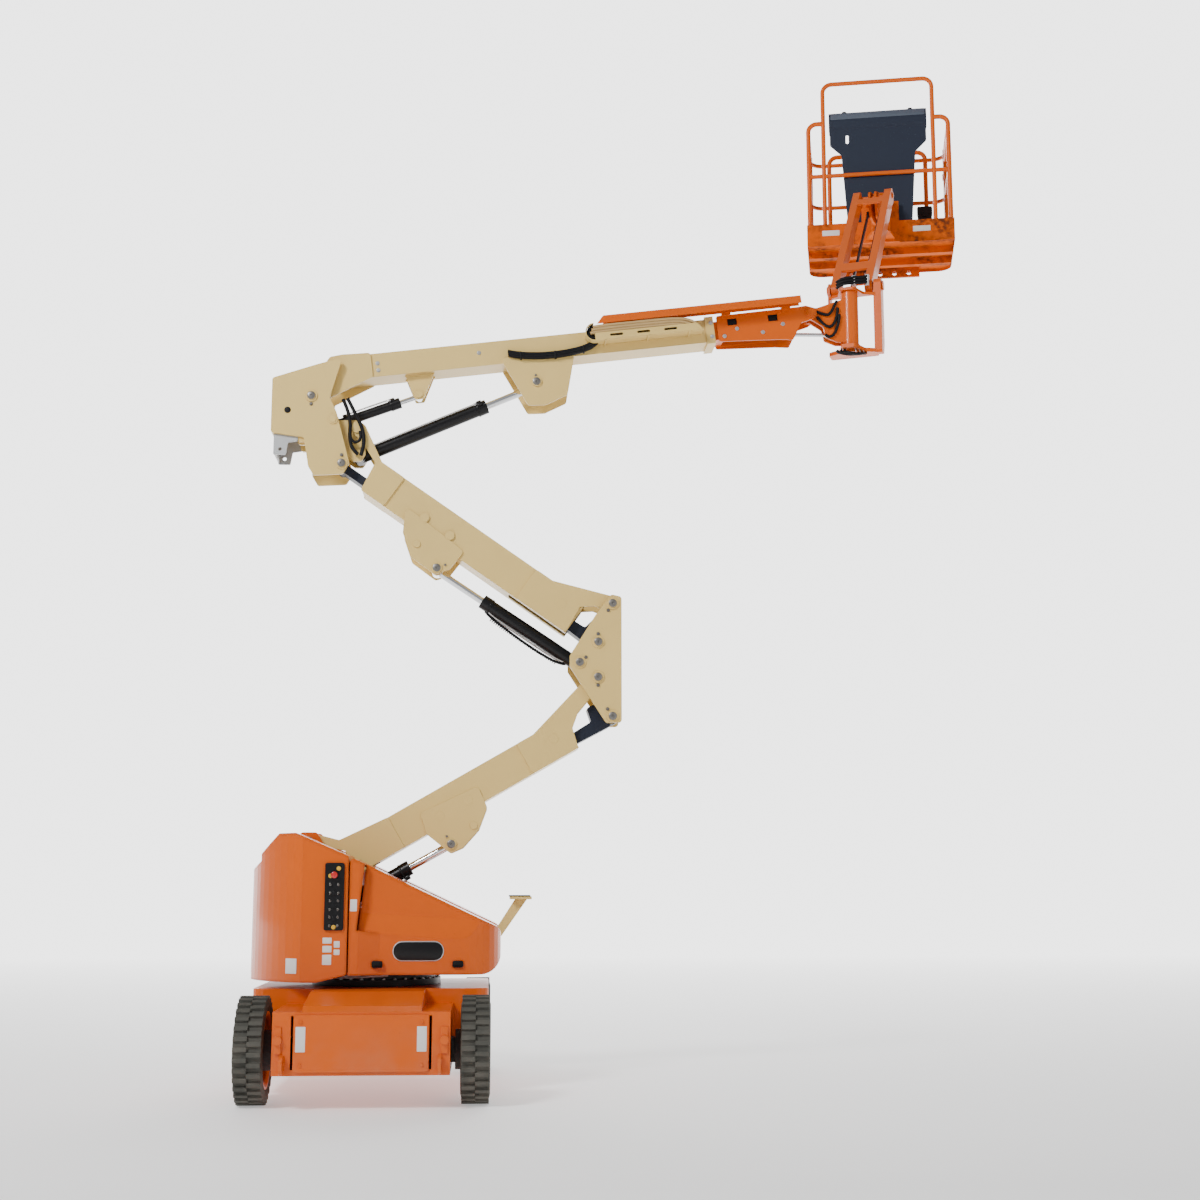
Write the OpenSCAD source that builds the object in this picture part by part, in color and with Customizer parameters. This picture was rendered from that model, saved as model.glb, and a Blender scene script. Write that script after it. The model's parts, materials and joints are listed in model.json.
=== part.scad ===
// Articulating boom lift: narrow electric machine with a two-stage tower, telescopic boom and jib.
// Frame: origin on the floor under the swing axis, +X along the boom, +Z up, millimetres.

/* [Wheels] */
// Outer diameter of a tyre over its lugs
tyre_od = 635; // [560:5:700]
// Width of a tyre
tyre_width = 178; // [140:2:200]
// Diameter of the rim at the bead
rim_od = 410; // [360:5:440]
// Height of a tread lug
lug_height = 18; // [8:1:24]
// Distance between the drive axle and the steer axle
wheelbase = 2000; // [1850:10:2200]
// Width over the tyres
overall_width = 1500; // [1450:10:1640]

/* [Chassis] */
// Height of the deck
deck_z = 650; // [600:5:690]
// Height of the belly
belly_z = 200; // [150:5:250]
// Half width of the middle body
body_half = 735; // [640:5:745]
// Half length of the middle body
body_reach = 590; // [520:5:600]
// Half width of the drive end
drive_nose_half = 515; // [440:5:530]
// Half width of the steer end
steer_nose_half = 320; // [260:5:335]
// Distance from the middle to each end face
nose_reach = 1330; // [1260:5:1420]
// Thickness of the chassis plates
chassis_wall = 10; // [6:1:14]
// Radius of the hole in a tie-down lug
tie_hole_r = 20; // [14:1:24]

/* [Turret] */
// Radius of the tail
tail_radius = 822; // [780:2:850]
// Distance of the tail's flat sides inside its radius
tail_flat = 122; // [100:2:150]
// Distance of the hoods' sides inside the tail's sides
hood_step = 60; // [40:5:90]
// Half width of the open channel between the covers
channel_half = 205; // [195:5:230]
// Thickness of a cover
cover_wall = 6; // [4:1:10]
// Outer radius of the slew ring
slew_r = 420; // [360:5:450]

/* [Tower] */
// Height of the lower arm's pivot
lower_pivot_z = 1574; // [1560:2:1590]
// Length of the lower arm between its pins
lower_length = 2194; // [2150:2:2230]
// Length of the middle arm between its pins
mid_length = 2130; // [2090:2:2160]
// Half width of an arm's box
arm_half = 115; // [100:1:118]
// Depth of an arm's box
arm_depth = 228; // [200:2:232]
// Wall of an arm's box
arm_wall = 8; // [5:1:12]
// Radius of the tower's pins
pin_r = 30; // [22:1:34]
// Thickness of an upright's plate
upright_plate = 20; // [12:1:24]

/* [Boom] */
// Half width of the base boom
boom_half = 105; // [95:1:112]
// Depth of the base boom
boom_depth = 167; // [150:1:175]
// Length of the base boom from the main pivot
boom_length = 2835; // [2700:5:2840]
// Wall of the boom tubes
boom_wall = 8; // [5:1:10]
// Half width of the fly boom
fly_half = 85; // [70:1:88]

/* [Jib] */
// Length of the jib between its pins
jib_length = 1450; // [1300:5:1500]
// Angle of the jib above level at rest
jib_angle = 48; // [44:1:52]
// Direction of the jib from the boom's line at rest
jib_turn = 67; // [60:1:74]
// Height of the column that the jib swings on
column_height = 395; // [360:5:420]

/* [Platform] */
// Width of the platform
platform_width = 1187; // [1100:1:1240]
// Depth of the platform
platform_depth = 740; // [680:5:780]
// Height of the top rail above the floor's underside
rail_height = 1070; // [1000:5:1150]
// Height of the toe board
toe_height = 185; // [120:5:220]
// Radius of a rail tube
rail_r = 19; // [14:1:22]
// Turn of the platform from square at rest
platform_turn = -12.2; // [-14:0.2:-10]

/* [Hydraulics] */
// Radius of the tower's and the main cylinders' barrels
barrel_r = 46; // [38:1:48]
// Radius of their rods
rod_r = 26; // [18:1:30]

/* [Hidden] */
tail_half = tail_radius - tail_flat;
hood_half = tail_half - hood_step;
$fn = 48;

orange = [0.95, 0.42, 0.08];
cream = [0.86, 0.74, 0.58];
black = [0.06, 0.06, 0.07];
slate = [0.17, 0.20, 0.25];
steel = [0.72, 0.73, 0.74];
rubber = [0.12, 0.12, 0.11];

// Wheels and axles
wheel_x = (overall_width - tyre_width) / 2;
wheel_y = wheelbase / 2;
wheel_z = tyre_od / 2;
rim_r = rim_od / 2;
disc_x = wheel_x - 8;
disc_t = 12;
hub_r = 70;
run_gap = 0.5;
king_x = 520;
king_r = 25;
steer_arm = 140;
steer_ball = 18;
lug_count = 32;

// Tower pins, in X and Z
pin_gap = 0.4;
web_length = 420;
web_low = 45;
web_high = 138;
link_half = 68;
link_collar = link_half + 7;
link_dx = 98;
link_dz = 264;
lower_angle = 30;
mid_angle = 34.67;
main_angle = 7.3;
pin_a0 = [-450, lower_pivot_z];
pin_l0 = pin_a0 + [link_dx, -link_dz];
pin_p4 = pin_a0 + lower_length * [cos(lower_angle), sin(lower_angle)];
pin_p5 = pin_p4 + [link_dx, -link_dz];
pin_p1 = pin_p4 + [99, 503];
pin_p2 = pin_p1 + [-link_dx, -link_dz];
pin_p3 = pin_p4 + [-124, 99];
pin_u1 = pin_p1 + mid_length * [-cos(mid_angle), sin(mid_angle)];
pin_c = pin_u1 + [-link_dx, -link_dz];
pin_main = pin_u1 + [-314, 207];
pin_level = pin_main + [149, -162];
pin_lift = pin_u1 + [13, -182];
pin_ram = [-335, 1105];

// Layers across the machine
ear_t = 12;
plate_in = 150;
plate_out = plate_in + upright_plate;
boss_end = plate_in - 0.5;
lug_in = 82;
lug_out = 106;
arm_top = -118;
arm_bottom = arm_top - arm_depth;
mid_top = -100;
mid_bottom = mid_top - arm_depth - 14;

// Brackets for the rods' eyes, in the frame of the arm that carries them
lower_eye = [795, -480];
mid_eye = [1118, -483];
lift_eye = [1548, -52];
level_eye = [729, -35];
hinge_fly = [boom_length + 702, 250];
slave_base = [boom_length + 195, 172];

// Jib and platform, in the jib's frame
swing_x = hinge_world()[0] + 302;
column_low = hinge_world()[1] - 215;
column_high = column_low + column_height;
jib_pin = [145, column_high + 82];
jib_link_off = [32, -122];
jib_pin_r = 22;
end_pin_r = 14;
link_pin_r = 12;
jib_end = jib_pin + jib_length * [cos(jib_angle), sin(jib_angle)];
jib_ram = [105, column_low + 33];
jib_eye = [112, -24];
mount_reach = 320;
axis_u = jib_end[0] + mount_reach;
near_y = 170;
floor_z = jib_end[1] - 192;
bench_z = floor_z + 45;
rotor_r = 75;

function arc_pts(c, r, a0, a1, n) = [for (i = [0:n]) c + r * [cos(a0 + (a1 - a0) * i / n),
    sin(a0 + (a1 - a0) * i / n)]];

function corner(p0, p1, p2, r, n) =
    let (a = p0 - p1, b = p2 - p1, ua = a / norm(a), ub = b / norm(b))
    let (half = acos(max(-1, min(1, ua * ub))) / 2)
    let (t = min(r / tan(half), 0.45 * norm(a), 0.45 * norm(b)), rr = t * tan(half))
    let (c = p1 + (ua + ub) / norm(ua + ub) * rr / sin(half))
    let (s = p1 + ua * t - c, e = p1 + ub * t - c)
    let (sa = atan2(s[1], s[0]), d = atan2(e[1], e[0]) - sa)
    let (turn = d > 180 ? d - 360 : d < -180 ? d + 360 : d)
    [for (i = [0:n]) c + rr * [cos(sa + turn * i / n), sin(sa + turn * i / n)]];

// Polygon with its corners rounded
function rounded(pts, r, n = 4) =
    [for (i = [0:len(pts) - 1])
        each corner(pts[(i + len(pts) - 1) % len(pts)], pts[i], pts[(i + 1) % len(pts)], r, n)];

function turned(p, a) = [p[0] * cos(a) - p[1] * sin(a), p[0] * sin(a) + p[1] * cos(a)];
function span(a, b) = norm(b - a);
function slope(a, b) = atan2(b[1] - a[1], b[0] - a[0]);

// Plate drawn in X and Z, from y0 over a thickness t
module plate(pts, y0, t) {
    translate([0, y0 + t, 0]) rotate([90, 0, 0]) linear_extrude(t) polygon(pts);
}

// The same plate on both sides of the middle plane
module plates(pts, y0, t) {
    plate(pts, y0, t);
    plate(pts, -y0 - t, t);
}

// Slab drawn in Y and Z, from x0 over a thickness t
module slab(pts, x0, t) {
    translate([x0, 0, 0]) rotate([90, 0, 90]) linear_extrude(t) polygon(pts);
}

// Round bar across the machine at p, from y0 to y1
module bar(p, r, y0, y1) {
    translate([p[0], y1, p[1]]) rotate([90, 0, 0]) cylinder(h = y1 - y0, r = r);
}

// Two bars on both sides of the middle plane
module bars(p, r, y0, y1) {
    bar(p, r, y0, y1);
    bar(p, r, -y1, -y0);
}

// Round tube between two points
module rail(a, b, r) {
    d = b - a;
    translate(a) rotate([0, acos(d[2] / norm(d)), atan2(d[1], d[0])])
        cylinder(h = norm(d), r = r, $fn = 24);
}

// Block from a low corner to a high corner
module block(a, b) {
    translate(a) cube(b - a);
}

module at(p, angle) {
    translate([p[0], 0, p[1]]) rotate([0, -angle, 0]) children();
}

module lower_frame() at(pin_a0, lower_angle) children();
module mid_frame() translate([pin_p1[0], 0, pin_p1[1]]) mirror([1, 0, 0]) rotate([0, -mid_angle, 0])
    children();
module main_frame() at(pin_main, main_angle) children();
module jib_frame() translate([swing_x, 0, 0]) rotate([0, 0, jib_turn]) children();
module jib_line() jib_frame() at(jib_pin, jib_angle) children();
module platform_frame()
    translate([swing_x + axis_u * cos(jib_turn), axis_u * sin(jib_turn), 0])
        rotate([0, 0, platform_turn]) children();

// Barrel of a cylinder along X from its eye: length, radius, rod radius, half width of the eye, pin radius
module barrel(length, r, rr, eye_half, pr) {
    difference() {
        union() {
            bar([0, 0], pr + 15, -eye_half, eye_half);
            rotate([0, 90, 0]) cylinder(h = length - 40, r = r);
            translate([length - 60, 0, 0]) rotate([0, 90, 0]) cylinder(h = 60, r = r + 4);
        }
        translate([pr + 30, 0, 0]) rotate([0, 90, 0]) cylinder(h = length, r = rr + run_gap);
        bar([0, 0], pr + pin_gap, -eye_half - 1, eye_half + 1);
    }
}

// Rod of a cylinder along X, from inside its barrel to the eye
module rod(start, length, rr, eye_half, pr) {
    difference() {
        union() {
            translate([start, 0, 0]) rotate([0, 90, 0]) cylinder(h = length - start, r = rr);
            bar([length, 0], pr + 15, -eye_half, eye_half);
        }
        bar([length, 0], pr + pin_gap, -eye_half - 1, eye_half + 1);
    }
}

// Two-eyed link along X, with a deep web beside its first eye
module link(length, depth, half, eye_r) {
    web = rounded([[30, -web_low], [web_length, -depth / 2], [web_length, depth / 2], [134, web_low],
        [116, web_high], [66, web_high], [20, web_low]], 14);
    difference() {
        union() {
            block([0, -half, -depth / 2], [length, half, depth / 2]);
            plate(web, -half, 2 * half);
            bar([0, 0], eye_r, -half - 6, half + 6);
            bar([length, 0], eye_r, -half - 6, half + 6);
        }
        bar([0, 0], pin_r + pin_gap, -half - 7, half + 7);
        bar([length, 0], pin_r + pin_gap, -half - 7, half + 7);
    }
}

// Pin held by an upright's plates, with its heads and the collars that keep a link in the middle
module upright_pin(p, inner) {
    bar(p, pin_r, -plate_out - 14, plate_out + 14);
    bars(p, pin_r + 12, plate_out, plate_out + 8);
    if (inner > 0) bars(p, pin_r + 10, inner, plate_in);
}

// Stub pins on a pair of bracket plates, with a free middle for the rod's eye
module eye_pins(p, inner, y0, t) {
    bars(p, 25, inner, y0);
    bars(p, 36, y0 + t, y0 + t + 10);
}

function lug_ring(r0, r1, n, shift) = [for (i = [0:n - 1], k = [0:3])
    let (a = 360 / n * (i + shift) + [-0.27, -0.21, 0.21, 0.27][k] * 360 / n)
    (k == 0 || k == 3 ? r0 : r1) * [cos(a), sin(a)]];

module tyre() {
    half = tyre_width / 2;
    top = tyre_od / 2;
    root = top - lug_height;
    tread = half - 7;
    rotate([0, 90, 0]) {
        difference() {
            union() {
                rotate_extrude($fn = 96) polygon([[rim_r, -half + 30], [rim_r + 22, -half + 14],
                    [rim_r + 55, -half], [root - 38, -half], [root - 6, -tread + 2], [root - 6, tread - 2],
                    [root - 38, half], [rim_r + 55, half], [rim_r + 22, half - 14], [rim_r, half - 30]]);
                linear_extrude(tread) difference() {
                    polygon(lug_ring(root, top, lug_count, 0));
                    circle(r = root - 20, $fn = 64);
                }
                translate([0, 0, -tread]) linear_extrude(tread) difference() {
                    polygon(lug_ring(root, top, lug_count, 0.5));
                    circle(r = root - 20, $fn = 64);
                }
            }
            rotate_extrude($fn = 96) polygon([[rim_r - 1, -half + 44], [rim_r + 30, -half + 30],
                [root - 44, -half + 26], [root - 44, half - 26], [rim_r + 30, half - 30],
                    [rim_r - 1, half - 44]]);
        }
    }
}

// Rim with its disc towards side: +1 or -1 along X
module rim(side) {
    half = tyre_width / 2;
    d = side * (disc_x - wheel_x);
    rotate([0, 90, 0]) difference() {
        union() {
            rotate_extrude($fn = 96) polygon([[rim_r - 12, -half + 26], [rim_r + 12, -half + 8],
                [rim_r + 22, -half + 8], [rim_r + 22, -half + 14], [rim_r, -half + 30], [rim_r, half - 30],
                [rim_r + 22, half - 14], [rim_r + 22, half - 8], [rim_r + 12, half - 8],
                    [rim_r - 12, half - 26]]);
            translate([0, 0, d - disc_t / 2]) cylinder(h = disc_t, r = rim_r - 6);
            for (k = [0:8]) rotate([0, 0, k * 40])
                translate([hub_r + 35, 0, d + (side < 0 ? -disc_t / 2 - 16 : disc_t / 2 - 1)])
                    cylinder(h = 17, r = 13, $fn = 6);
        }
        translate([0, 0, -tyre_width]) cylinder(h = 2 * tyre_width, r = hub_r + run_gap);
        for (k = [0:5]) rotate([0, 0, k * 60])
            translate([rim_r - 38, 0, -tyre_width]) cylinder(h = 2 * tyre_width, r = 16, $fn = 24);
    }
}

module place_wheel(sx, sy) translate([sx * wheel_x, sy * wheel_y, wheel_z]) children();

module tyre_drive_left() color(rubber) place_wheel(-1, -1) tyre();
module tyre_drive_right() color(rubber) place_wheel(1, -1) tyre();
module tyre_steer_left() color(rubber) place_wheel(-1, 1) tyre();
module tyre_steer_right() color(rubber) place_wheel(1, 1) tyre();
module rim_drive_left() color(orange) place_wheel(-1, -1) rim(-1);
module rim_drive_right() color(orange) place_wheel(1, -1) rim(1);
module rim_steer_left() color(orange) place_wheel(-1, 1) rim(-1);
module rim_steer_right() color(orange) place_wheel(1, 1) rim(1);

// Hub drum and pilot from x0 out through the rim's disc, on the side sx
module hub(sx, x0, r) {
    face = disc_x - disc_t / 2 - run_gap;
    rotate([0, sx * 90, 0]) {
        translate([0, 0, x0]) cylinder(h = face - x0, r = r);
        translate([0, 0, x0]) cylinder(h = disc_x + 30 - x0, r = hub_r);
        translate([0, 0, disc_x + 30]) cylinder(h = 14, r1 = hub_r, r2 = hub_r - 12);
    }
}

body_plan = rounded([[-body_half, -body_reach], [body_half, -body_reach],
    [body_half, body_reach], [-body_half, body_reach]], 70);
body_core = rounded([[-body_half + chassis_wall, -body_reach + chassis_wall],
    [body_half - chassis_wall, -body_reach + chassis_wall],
    [body_half - chassis_wall, body_reach - chassis_wall],
    [-body_half + chassis_wall, body_reach - chassis_wall]], 60);

// Side outline of the shelves beside the drive end's ridge, inset by o
function shelf_side(o) = [[body_reach - 30, belly_z + o], [nose_reach - o, belly_z + o],
    [nose_reach - o, shelf_z - o], [body_reach - 30, shelf_z - o]];
shelf_z = 560;
ridge_half = 345;

// Side outline of an end of the chassis, drawn towards +Y
function nose_side(o) = [[body_reach - 30, belly_z + o], [nose_reach - o, belly_z + o],
    [nose_reach - o, shelf_z - o], [nose_reach - 60 - o, brow_z - o],
    [wheel_y - 120, deck_z - o], [body_reach - 30, deck_z - o]];
brow_z = shelf_z + 30;
// Height of the sloping roof at a distance y from the middle
function roof_z(y) = deck_z - (deck_z - brow_z) * (y - wheel_y + 120) / (nose_reach - wheel_y + 60);

module tie_lug(x, y, dir) {
    translate([x, y, 0]) difference() {
        slab(rounded([[-dir * 12, belly_z + 10], [dir * 78, belly_z + 10], [dir * 78, belly_z + 100],
            [-dir * 12, belly_z + 130]], 30), -10, 20);
        translate([-11, dir * 38, belly_z + 52]) rotate([0, 90, 0]) cylinder(h = 22, r = tie_hole_r);
    }
}

module chassis_frame() color(orange) {
    drive_core = drive_nose_half - chassis_wall;
    steer_core = steer_nose_half - chassis_wall;
    saddle_top = roof_z(wheel_y + 60) - chassis_wall / 2 + 1;
    difference() {
        union() {
            translate([0, 0, belly_z]) linear_extrude(deck_z - belly_z) polygon(body_plan);
            mirror([0, 1, 0]) slab(shelf_side(0), -drive_nose_half, 2 * drive_nose_half);
            mirror([0, 1, 0]) slab(nose_side(0), -ridge_half, 2 * ridge_half);
            slab(nose_side(0), -steer_nose_half, 2 * steer_nose_half);
        }
        translate([0, 0, belly_z + chassis_wall])
            linear_extrude(deck_z - belly_z - 2 * chassis_wall) polygon(body_core);
        mirror([0, 1, 0]) slab(shelf_side(chassis_wall), -drive_core, 2 * drive_core);
        mirror([0, 1, 0]) slab(nose_side(chassis_wall), -ridge_half + chassis_wall,
            2 * (ridge_half - chassis_wall));
        for (s = [-1, 1]) translate([s * (drive_nose_half - 115), -nose_reach, 386])
            cube([14, 3 * chassis_wall, 304], center = true);
        slab(nose_side(chassis_wall), -steer_core, 2 * steer_core);
        block([-600, -wheel_y - 80, wheel_z - 80], [600, -wheel_y + 80, wheel_z + 80]);
        block([-600, wheel_y - 150, belly_z - 1], [600, nose_reach - 40, 480]);
    }
    for (x = [-300, 280]) block([x, -wheel_y - 60, wheel_z + 70], [x + 20, -wheel_y + 60, saddle_top]);
    for (x = [-230, 210]) block([x, wheel_y - 60, wheel_z + 60], [x + 20, wheel_y + 60, saddle_top]);
    for (s = [-1, 1]) {
        tie_lug(s * (drive_nose_half - 60), -nose_reach, -1);
        translate([s * (drive_nose_half - 34), -nose_reach + 1, 400]) rotate([90, 0, 0]) {
            translate([-20, -75, 0]) cube([40, 150, 13]);
            cylinder(h = 31, r = 26);
        }
        tie_lug(s * (steer_nose_half - 50), nose_reach, 1);
    }
}

cover_t = 12;
module end_covers() color(orange) {
    y = nose_reach;
    for (s = [-1, 1]) {
        half = s < 0 ? drive_nose_half - 125 : steer_nose_half - 90;
        translate([0, s > 0 ? y + cover_t : -y, 0]) rotate([90, 0, 0]) linear_extrude(cover_t)
            polygon(rounded([[-half, belly_z + 20], [half, belly_z + 20], [half, 545], [-half, 545]], 18));
        for (x = [-half + 40, half - 40], z = [belly_z + 60, 505])
            translate([x, s > 0 ? y + cover_t - 1 : -y - cover_t + 1, z]) rotate([s > 0 ? -90 : 90, 0, 0])
                cylinder(h = 8, r = 11, $fn = 6);
    }
}

module drive_axle() color(black) translate([0, -wheel_y, wheel_z]) {
    block([-540, -70, -70], [540, 70, 70]);
    sphere(r = 98);
    for (s = [-1, 1]) hub(s, 539, 118);
}

module steer_axle() color(black) translate([0, wheel_y, wheel_z]) difference() {
    union() {
        block([-king_x, -55, -60], [king_x, 55, 60]);
        for (s = [-1, 1]) translate([s * king_x, 0, -50]) cylinder(h = 100, r = 48);
    }
    for (s = [-1, 1]) {
        translate([s * king_x, 0, -70]) cylinder(h = 140, r = king_r + pin_gap);
        block([s * king_x - 70, -70, 50], [s * king_x + 70, 70, 70]);
        block([s * king_x - 70, -70, -70], [s * king_x + 70, 70, -50]);
    }
}

// Steering knuckle on the side s
module knuckle(s) color(black) translate([s * king_x, wheel_y, wheel_z]) {
    hub_in = 66;
    translate([0, 0, -78]) cylinder(h = 156, r = king_r);
    for (z = [-78, 53]) translate([0, 0, z]) linear_extrude(25)
        polygon(rounded([[-s * 46, -44], [-s * 46, 44], [s * (hub_in + 1), 60],
            [s * (hub_in + 1), -60]], 20));
    block([min(s * hub_in, s * (hub_in + 20)), -62, -78], [max(s * hub_in, s * (hub_in + 20)), 62, 78]);
    translate([-s * king_x, 0, 0]) hub(s, king_x + hub_in + 19, 88);
    translate([0, 0, 62]) linear_extrude(16) polygon([[-34, 0], [34, 0], [22, steer_arm + 8],
        [-22, steer_arm + 8]]);
    translate([0, steer_arm, 62]) cylinder(h = 52, r = steer_ball);
    translate([0, steer_arm, 62]) cylinder(h = 20, r = 30);
}
module knuckle_left() knuckle(-1);
module knuckle_right() knuckle(1);

module tie_rod() color(steel) translate([0, wheel_y + steer_arm, wheel_z + 97]) difference() {
    union() {
        rotate([0, 90, 0]) translate([0, 0, -king_x]) cylinder(h = 2 * king_x, r = 11);
        for (s = [-1, 1]) translate([s * king_x, 0, -14]) cylinder(h = 28, r = 30);
    }
    for (s = [-1, 1]) translate([s * king_x, 0, -30]) cylinder(h = 60, r = steer_ball + pin_gap);
}

slew_height = 84;
module slew_ring() color(black) translate([0, 0, deck_z]) difference() {
    union() {
        cylinder(h = slew_height, r = slew_r - 30, $fn = 96);
        cylinder(h = slew_height / 2, r = slew_r, $fn = 96);
    }
    translate([0, 0, -1]) cylinder(h = slew_height + 2, r = slew_r - 110, $fn = 96);
}

seat_gap = 0.3;
base_z = deck_z + slew_height + seat_gap;
base_t = 25;

// Plan of the turret's tail, on the near side: o is an inset
function tail_plan(o) = concat([[tail_x - o, -channel_half - o], [tail_x - o, -tail_half + o]],
    arc_pts([0, 0], tail_radius - o, tail_turn(tail_half - o, o), tail_turn(channel_half + o, o), 10));
function tail_turn(y, o) = 180 + asin(y / (tail_radius - o));
tail_x = -146;
tail_step = -tail_radius + 95;
tail_peak = -tail_radius + 226;
tail_side = [[-tail_radius - 10, base_z], [-tail_radius - 10, 1362], [tail_step, 1440], [tail_step, 1486],
    [tail_peak, 1611], [tail_peak + 115, 1612], [tail_x, 1467], [tail_x, base_z]];
function inset_side(o) = [[-tail_radius - 20, base_z - 1], [-tail_radius - 20, 1362 - o],
    [tail_step + o, 1440 - o], [tail_step + o, 1486 - o], [tail_peak + o, 1611 - 1.4 * o],
    [tail_peak + 115, 1612 - 1.4 * o], [tail_x, 1467 - 1.4 * o], [tail_x + 6, 1464 - 1.4 * o],
    [tail_x + 6, base_z - 1]];

module tail_cover() difference() {
    intersection() {
        plate(rounded(tail_side, 14), -tail_half, tail_half - channel_half);
        translate([0, 0, base_z]) linear_extrude(900) polygon(tail_plan(0));
    }
    intersection() {
        plate(inset_side(cover_wall), -tail_half - 1, tail_half - channel_half + 2);
        translate([0, 0, base_z - 2]) linear_extrude(950) polygon(tail_plan(cover_wall));
    }
    translate([0, 0, base_z - 1]) linear_extrude(base_t + 1 + seat_gap) polygon(base_plan(seat_gap));
}

// Outer wall of the tail carried on below the base plate, rising towards the seam
module tail_skirt() difference() {
    low = base_z - tail_drop;
    intersection() {
        plate([[-tail_radius - 1, low], [tail_x - 184, low], [tail_x - cover_wall, base_z + 1],
            [-tail_radius - 1, base_z + 1]],
            -tail_half, tail_half - channel_half);
        translate([0, 0, low - 1]) linear_extrude(tail_drop + 3) difference() {
            polygon(tail_plan(0));
            polygon(tail_plan(cover_wall));
        }
    }
    block([-tail_radius, -channel_half - cover_wall - 1, low - 2],
        [tail_x + 1, -channel_half + 1, base_z + 3]);
}
tail_drop = 42;

module tail_covers() color(orange) for (s = [-1, 1]) scale([1, s, 1]) {
    tail_cover();
    tail_skirt();
}

seam_x = -138;
nose_x = 812;
nose_r = 126;
// Side of a hood with its round nose, inset by o
function hood_side(o) = let (a = [seam_x + o, base_z - 1.2 * o],
    b = [seam_x + o, hood_top(seam_x) - 1.5 * o],
    c = [nose_x - o, hood_top(nose_x) - 1.5 * o], d = [nose_x - o, base_z - 1.2 * o])
    concat([a], corner(a, b, c, 20 - o, 4), corner(b, c, d, 62 - o, 6), corner(c, d, a, nose_r - o, 8));
hinge_y = channel_half - 15;
hinge_r = 9;
function hood_top(x) = 1463 - (x - seam_x) * 0.4707;
function hinge_point(x) = [x, -hinge_y, hood_top(x) - 20];
function hood_plan(o) = concat([[seam_x + o, -channel_half], [seam_x + o, -tail_half + 12 + o],
    [seam_x + 60, -tail_half + 12 + o], [seam_x + 190, -hood_half + o]],
    arc_pts([nose_x - 251, -hood_half + 250], 250 - o, 270, 360, 8), [[nose_x - 1 - o, -channel_half]]);

// What is pressed in above the crease of a hood's side, moved in by o
module hood_shoulder(o) intersection() {
    plate([[seam_x + 45 + o, crease_z - 20], [seam_x + 100 + o, 1500], [nose_x + 20, 1500],
        [nose_x + 20, crease_z - 120]],
        -tail_half - 20, tail_half - hood_half + 20 + crease_in + o);
    translate([seam_x, -hood_half + o, crease_z - 1.2 * o]) rotate([0, crease_fall, 0])
        rotate([-crease_tilt, 0, 0])
        block([-60, -200, 0], [1120, 0, 600]);
}
crease_z = 1000;
crease_in = 30;
crease_tilt = 14;
crease_fall = 4;

module hood() difference() {
    intersection() {
        plate(hood_side(0), -tail_half, tail_half - channel_half);
        translate([0, 0, base_z]) linear_extrude(900) polygon(hood_plan(0));
    }
    difference() {
        intersection() {
            plate(hood_side(cover_wall), -tail_half, tail_half - channel_half + 1);
            translate([0, 0, base_z - 2]) linear_extrude(900) polygon(hood_plan(cover_wall));
        }
        hood_shoulder(cover_wall);
    }
    hood_shoulder(0);
    block([seam_x - 1, -600, base_z - 1], [seam_x + 20, -channel_half + 1, base_z + base_t + 5]);
}
// Ear of a hood around its hinge tube at x
module hood_ear(x) difference() {
    union() {
        rail(hinge_point(x), hinge_point(x + 36), hinge_r + 8);
        plate([[x, hood_top(x) - 30], [x + 36, hood_top(x + 36) - 30], [x + 36, hood_top(x + 36) - 4],
            [x, hood_top(x) - 4]], -channel_half - 30, 40);
    }
    rail(hinge_point(x - 60), hinge_point(x + 100), hinge_r + pin_gap);
}
// Distance of a hood's side from the middle where a latch starts at x
function hood_latch_y(x) = hood_half
    + max(0, seam_x + 190 - x) * (tail_half - 12 - hood_half) / 130;
module hood_near() color(orange) {
    hood();
    for (x = [40, 300, 540]) hood_ear(x);
    for (x = [11, 512]) block([x, -hood_latch_y(x) - 10, 782],
        [x + 60, -hood_latch_y(x) + cover_wall - 1, 820]);
}
module hood_far() color(orange) mirror([0, 1, 0]) hood_near();

// Plan of the turret's base plate inside the covers, grown by o
function base_plan(o) = let (in = cover_wall + 2 * seat_gap - o,
    x = tail_x - cover_wall - 2 * seat_gap + o)
    concat([[x, -tail_half + in]],
        arc_pts([0, 0], tail_radius - in, tail_turn(tail_half - in, in),
            360 - tail_turn(tail_half - in, in), 22),
        [[x, tail_half - in], [x, base_half + o], [540, base_half + o], [640 + o, base_half - 150],
            [640 + o, -base_half + 150], [540, -base_half - o], [x, -base_half - o]]);
base_half = hood_half - 50;
riser_side = rounded([[-775, base_z + 10], [-775, 960], [-700, 1010], [-530, 1590], [-500, pin_a0[1] + 56],
    [-400, pin_a0[1] + 56], [-375, 1590], [-255, 1340], [-240, 1240], [260, base_z + 60],
        [260, base_z + 10]], 24);

module turntable_frame() color(orange) {
    translate([0, 0, base_z]) linear_extrude(base_t) polygon(base_plan(0));
    plates(riser_side, plate_in, upright_plate);
    upright_pin(pin_a0, 0);
    upright_pin(pin_l0, link_collar);
    upright_pin(pin_ram, 60);
    block([-640, -plate_in - 1, base_z + base_t - 1], [-600, plate_in + 1, 860]);
    for (s = [-1, 1]) scale([1, s, 1]) {
        rail(hinge_point(-80), hinge_point(640), hinge_r);
        for (x = [-70, 160, 440, 610]) block([x, -hinge_y - 6, base_z + base_t - 1],
            [x + 22, -hinge_y + 6, hood_top(x) - 22]);
    }
}

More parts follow.
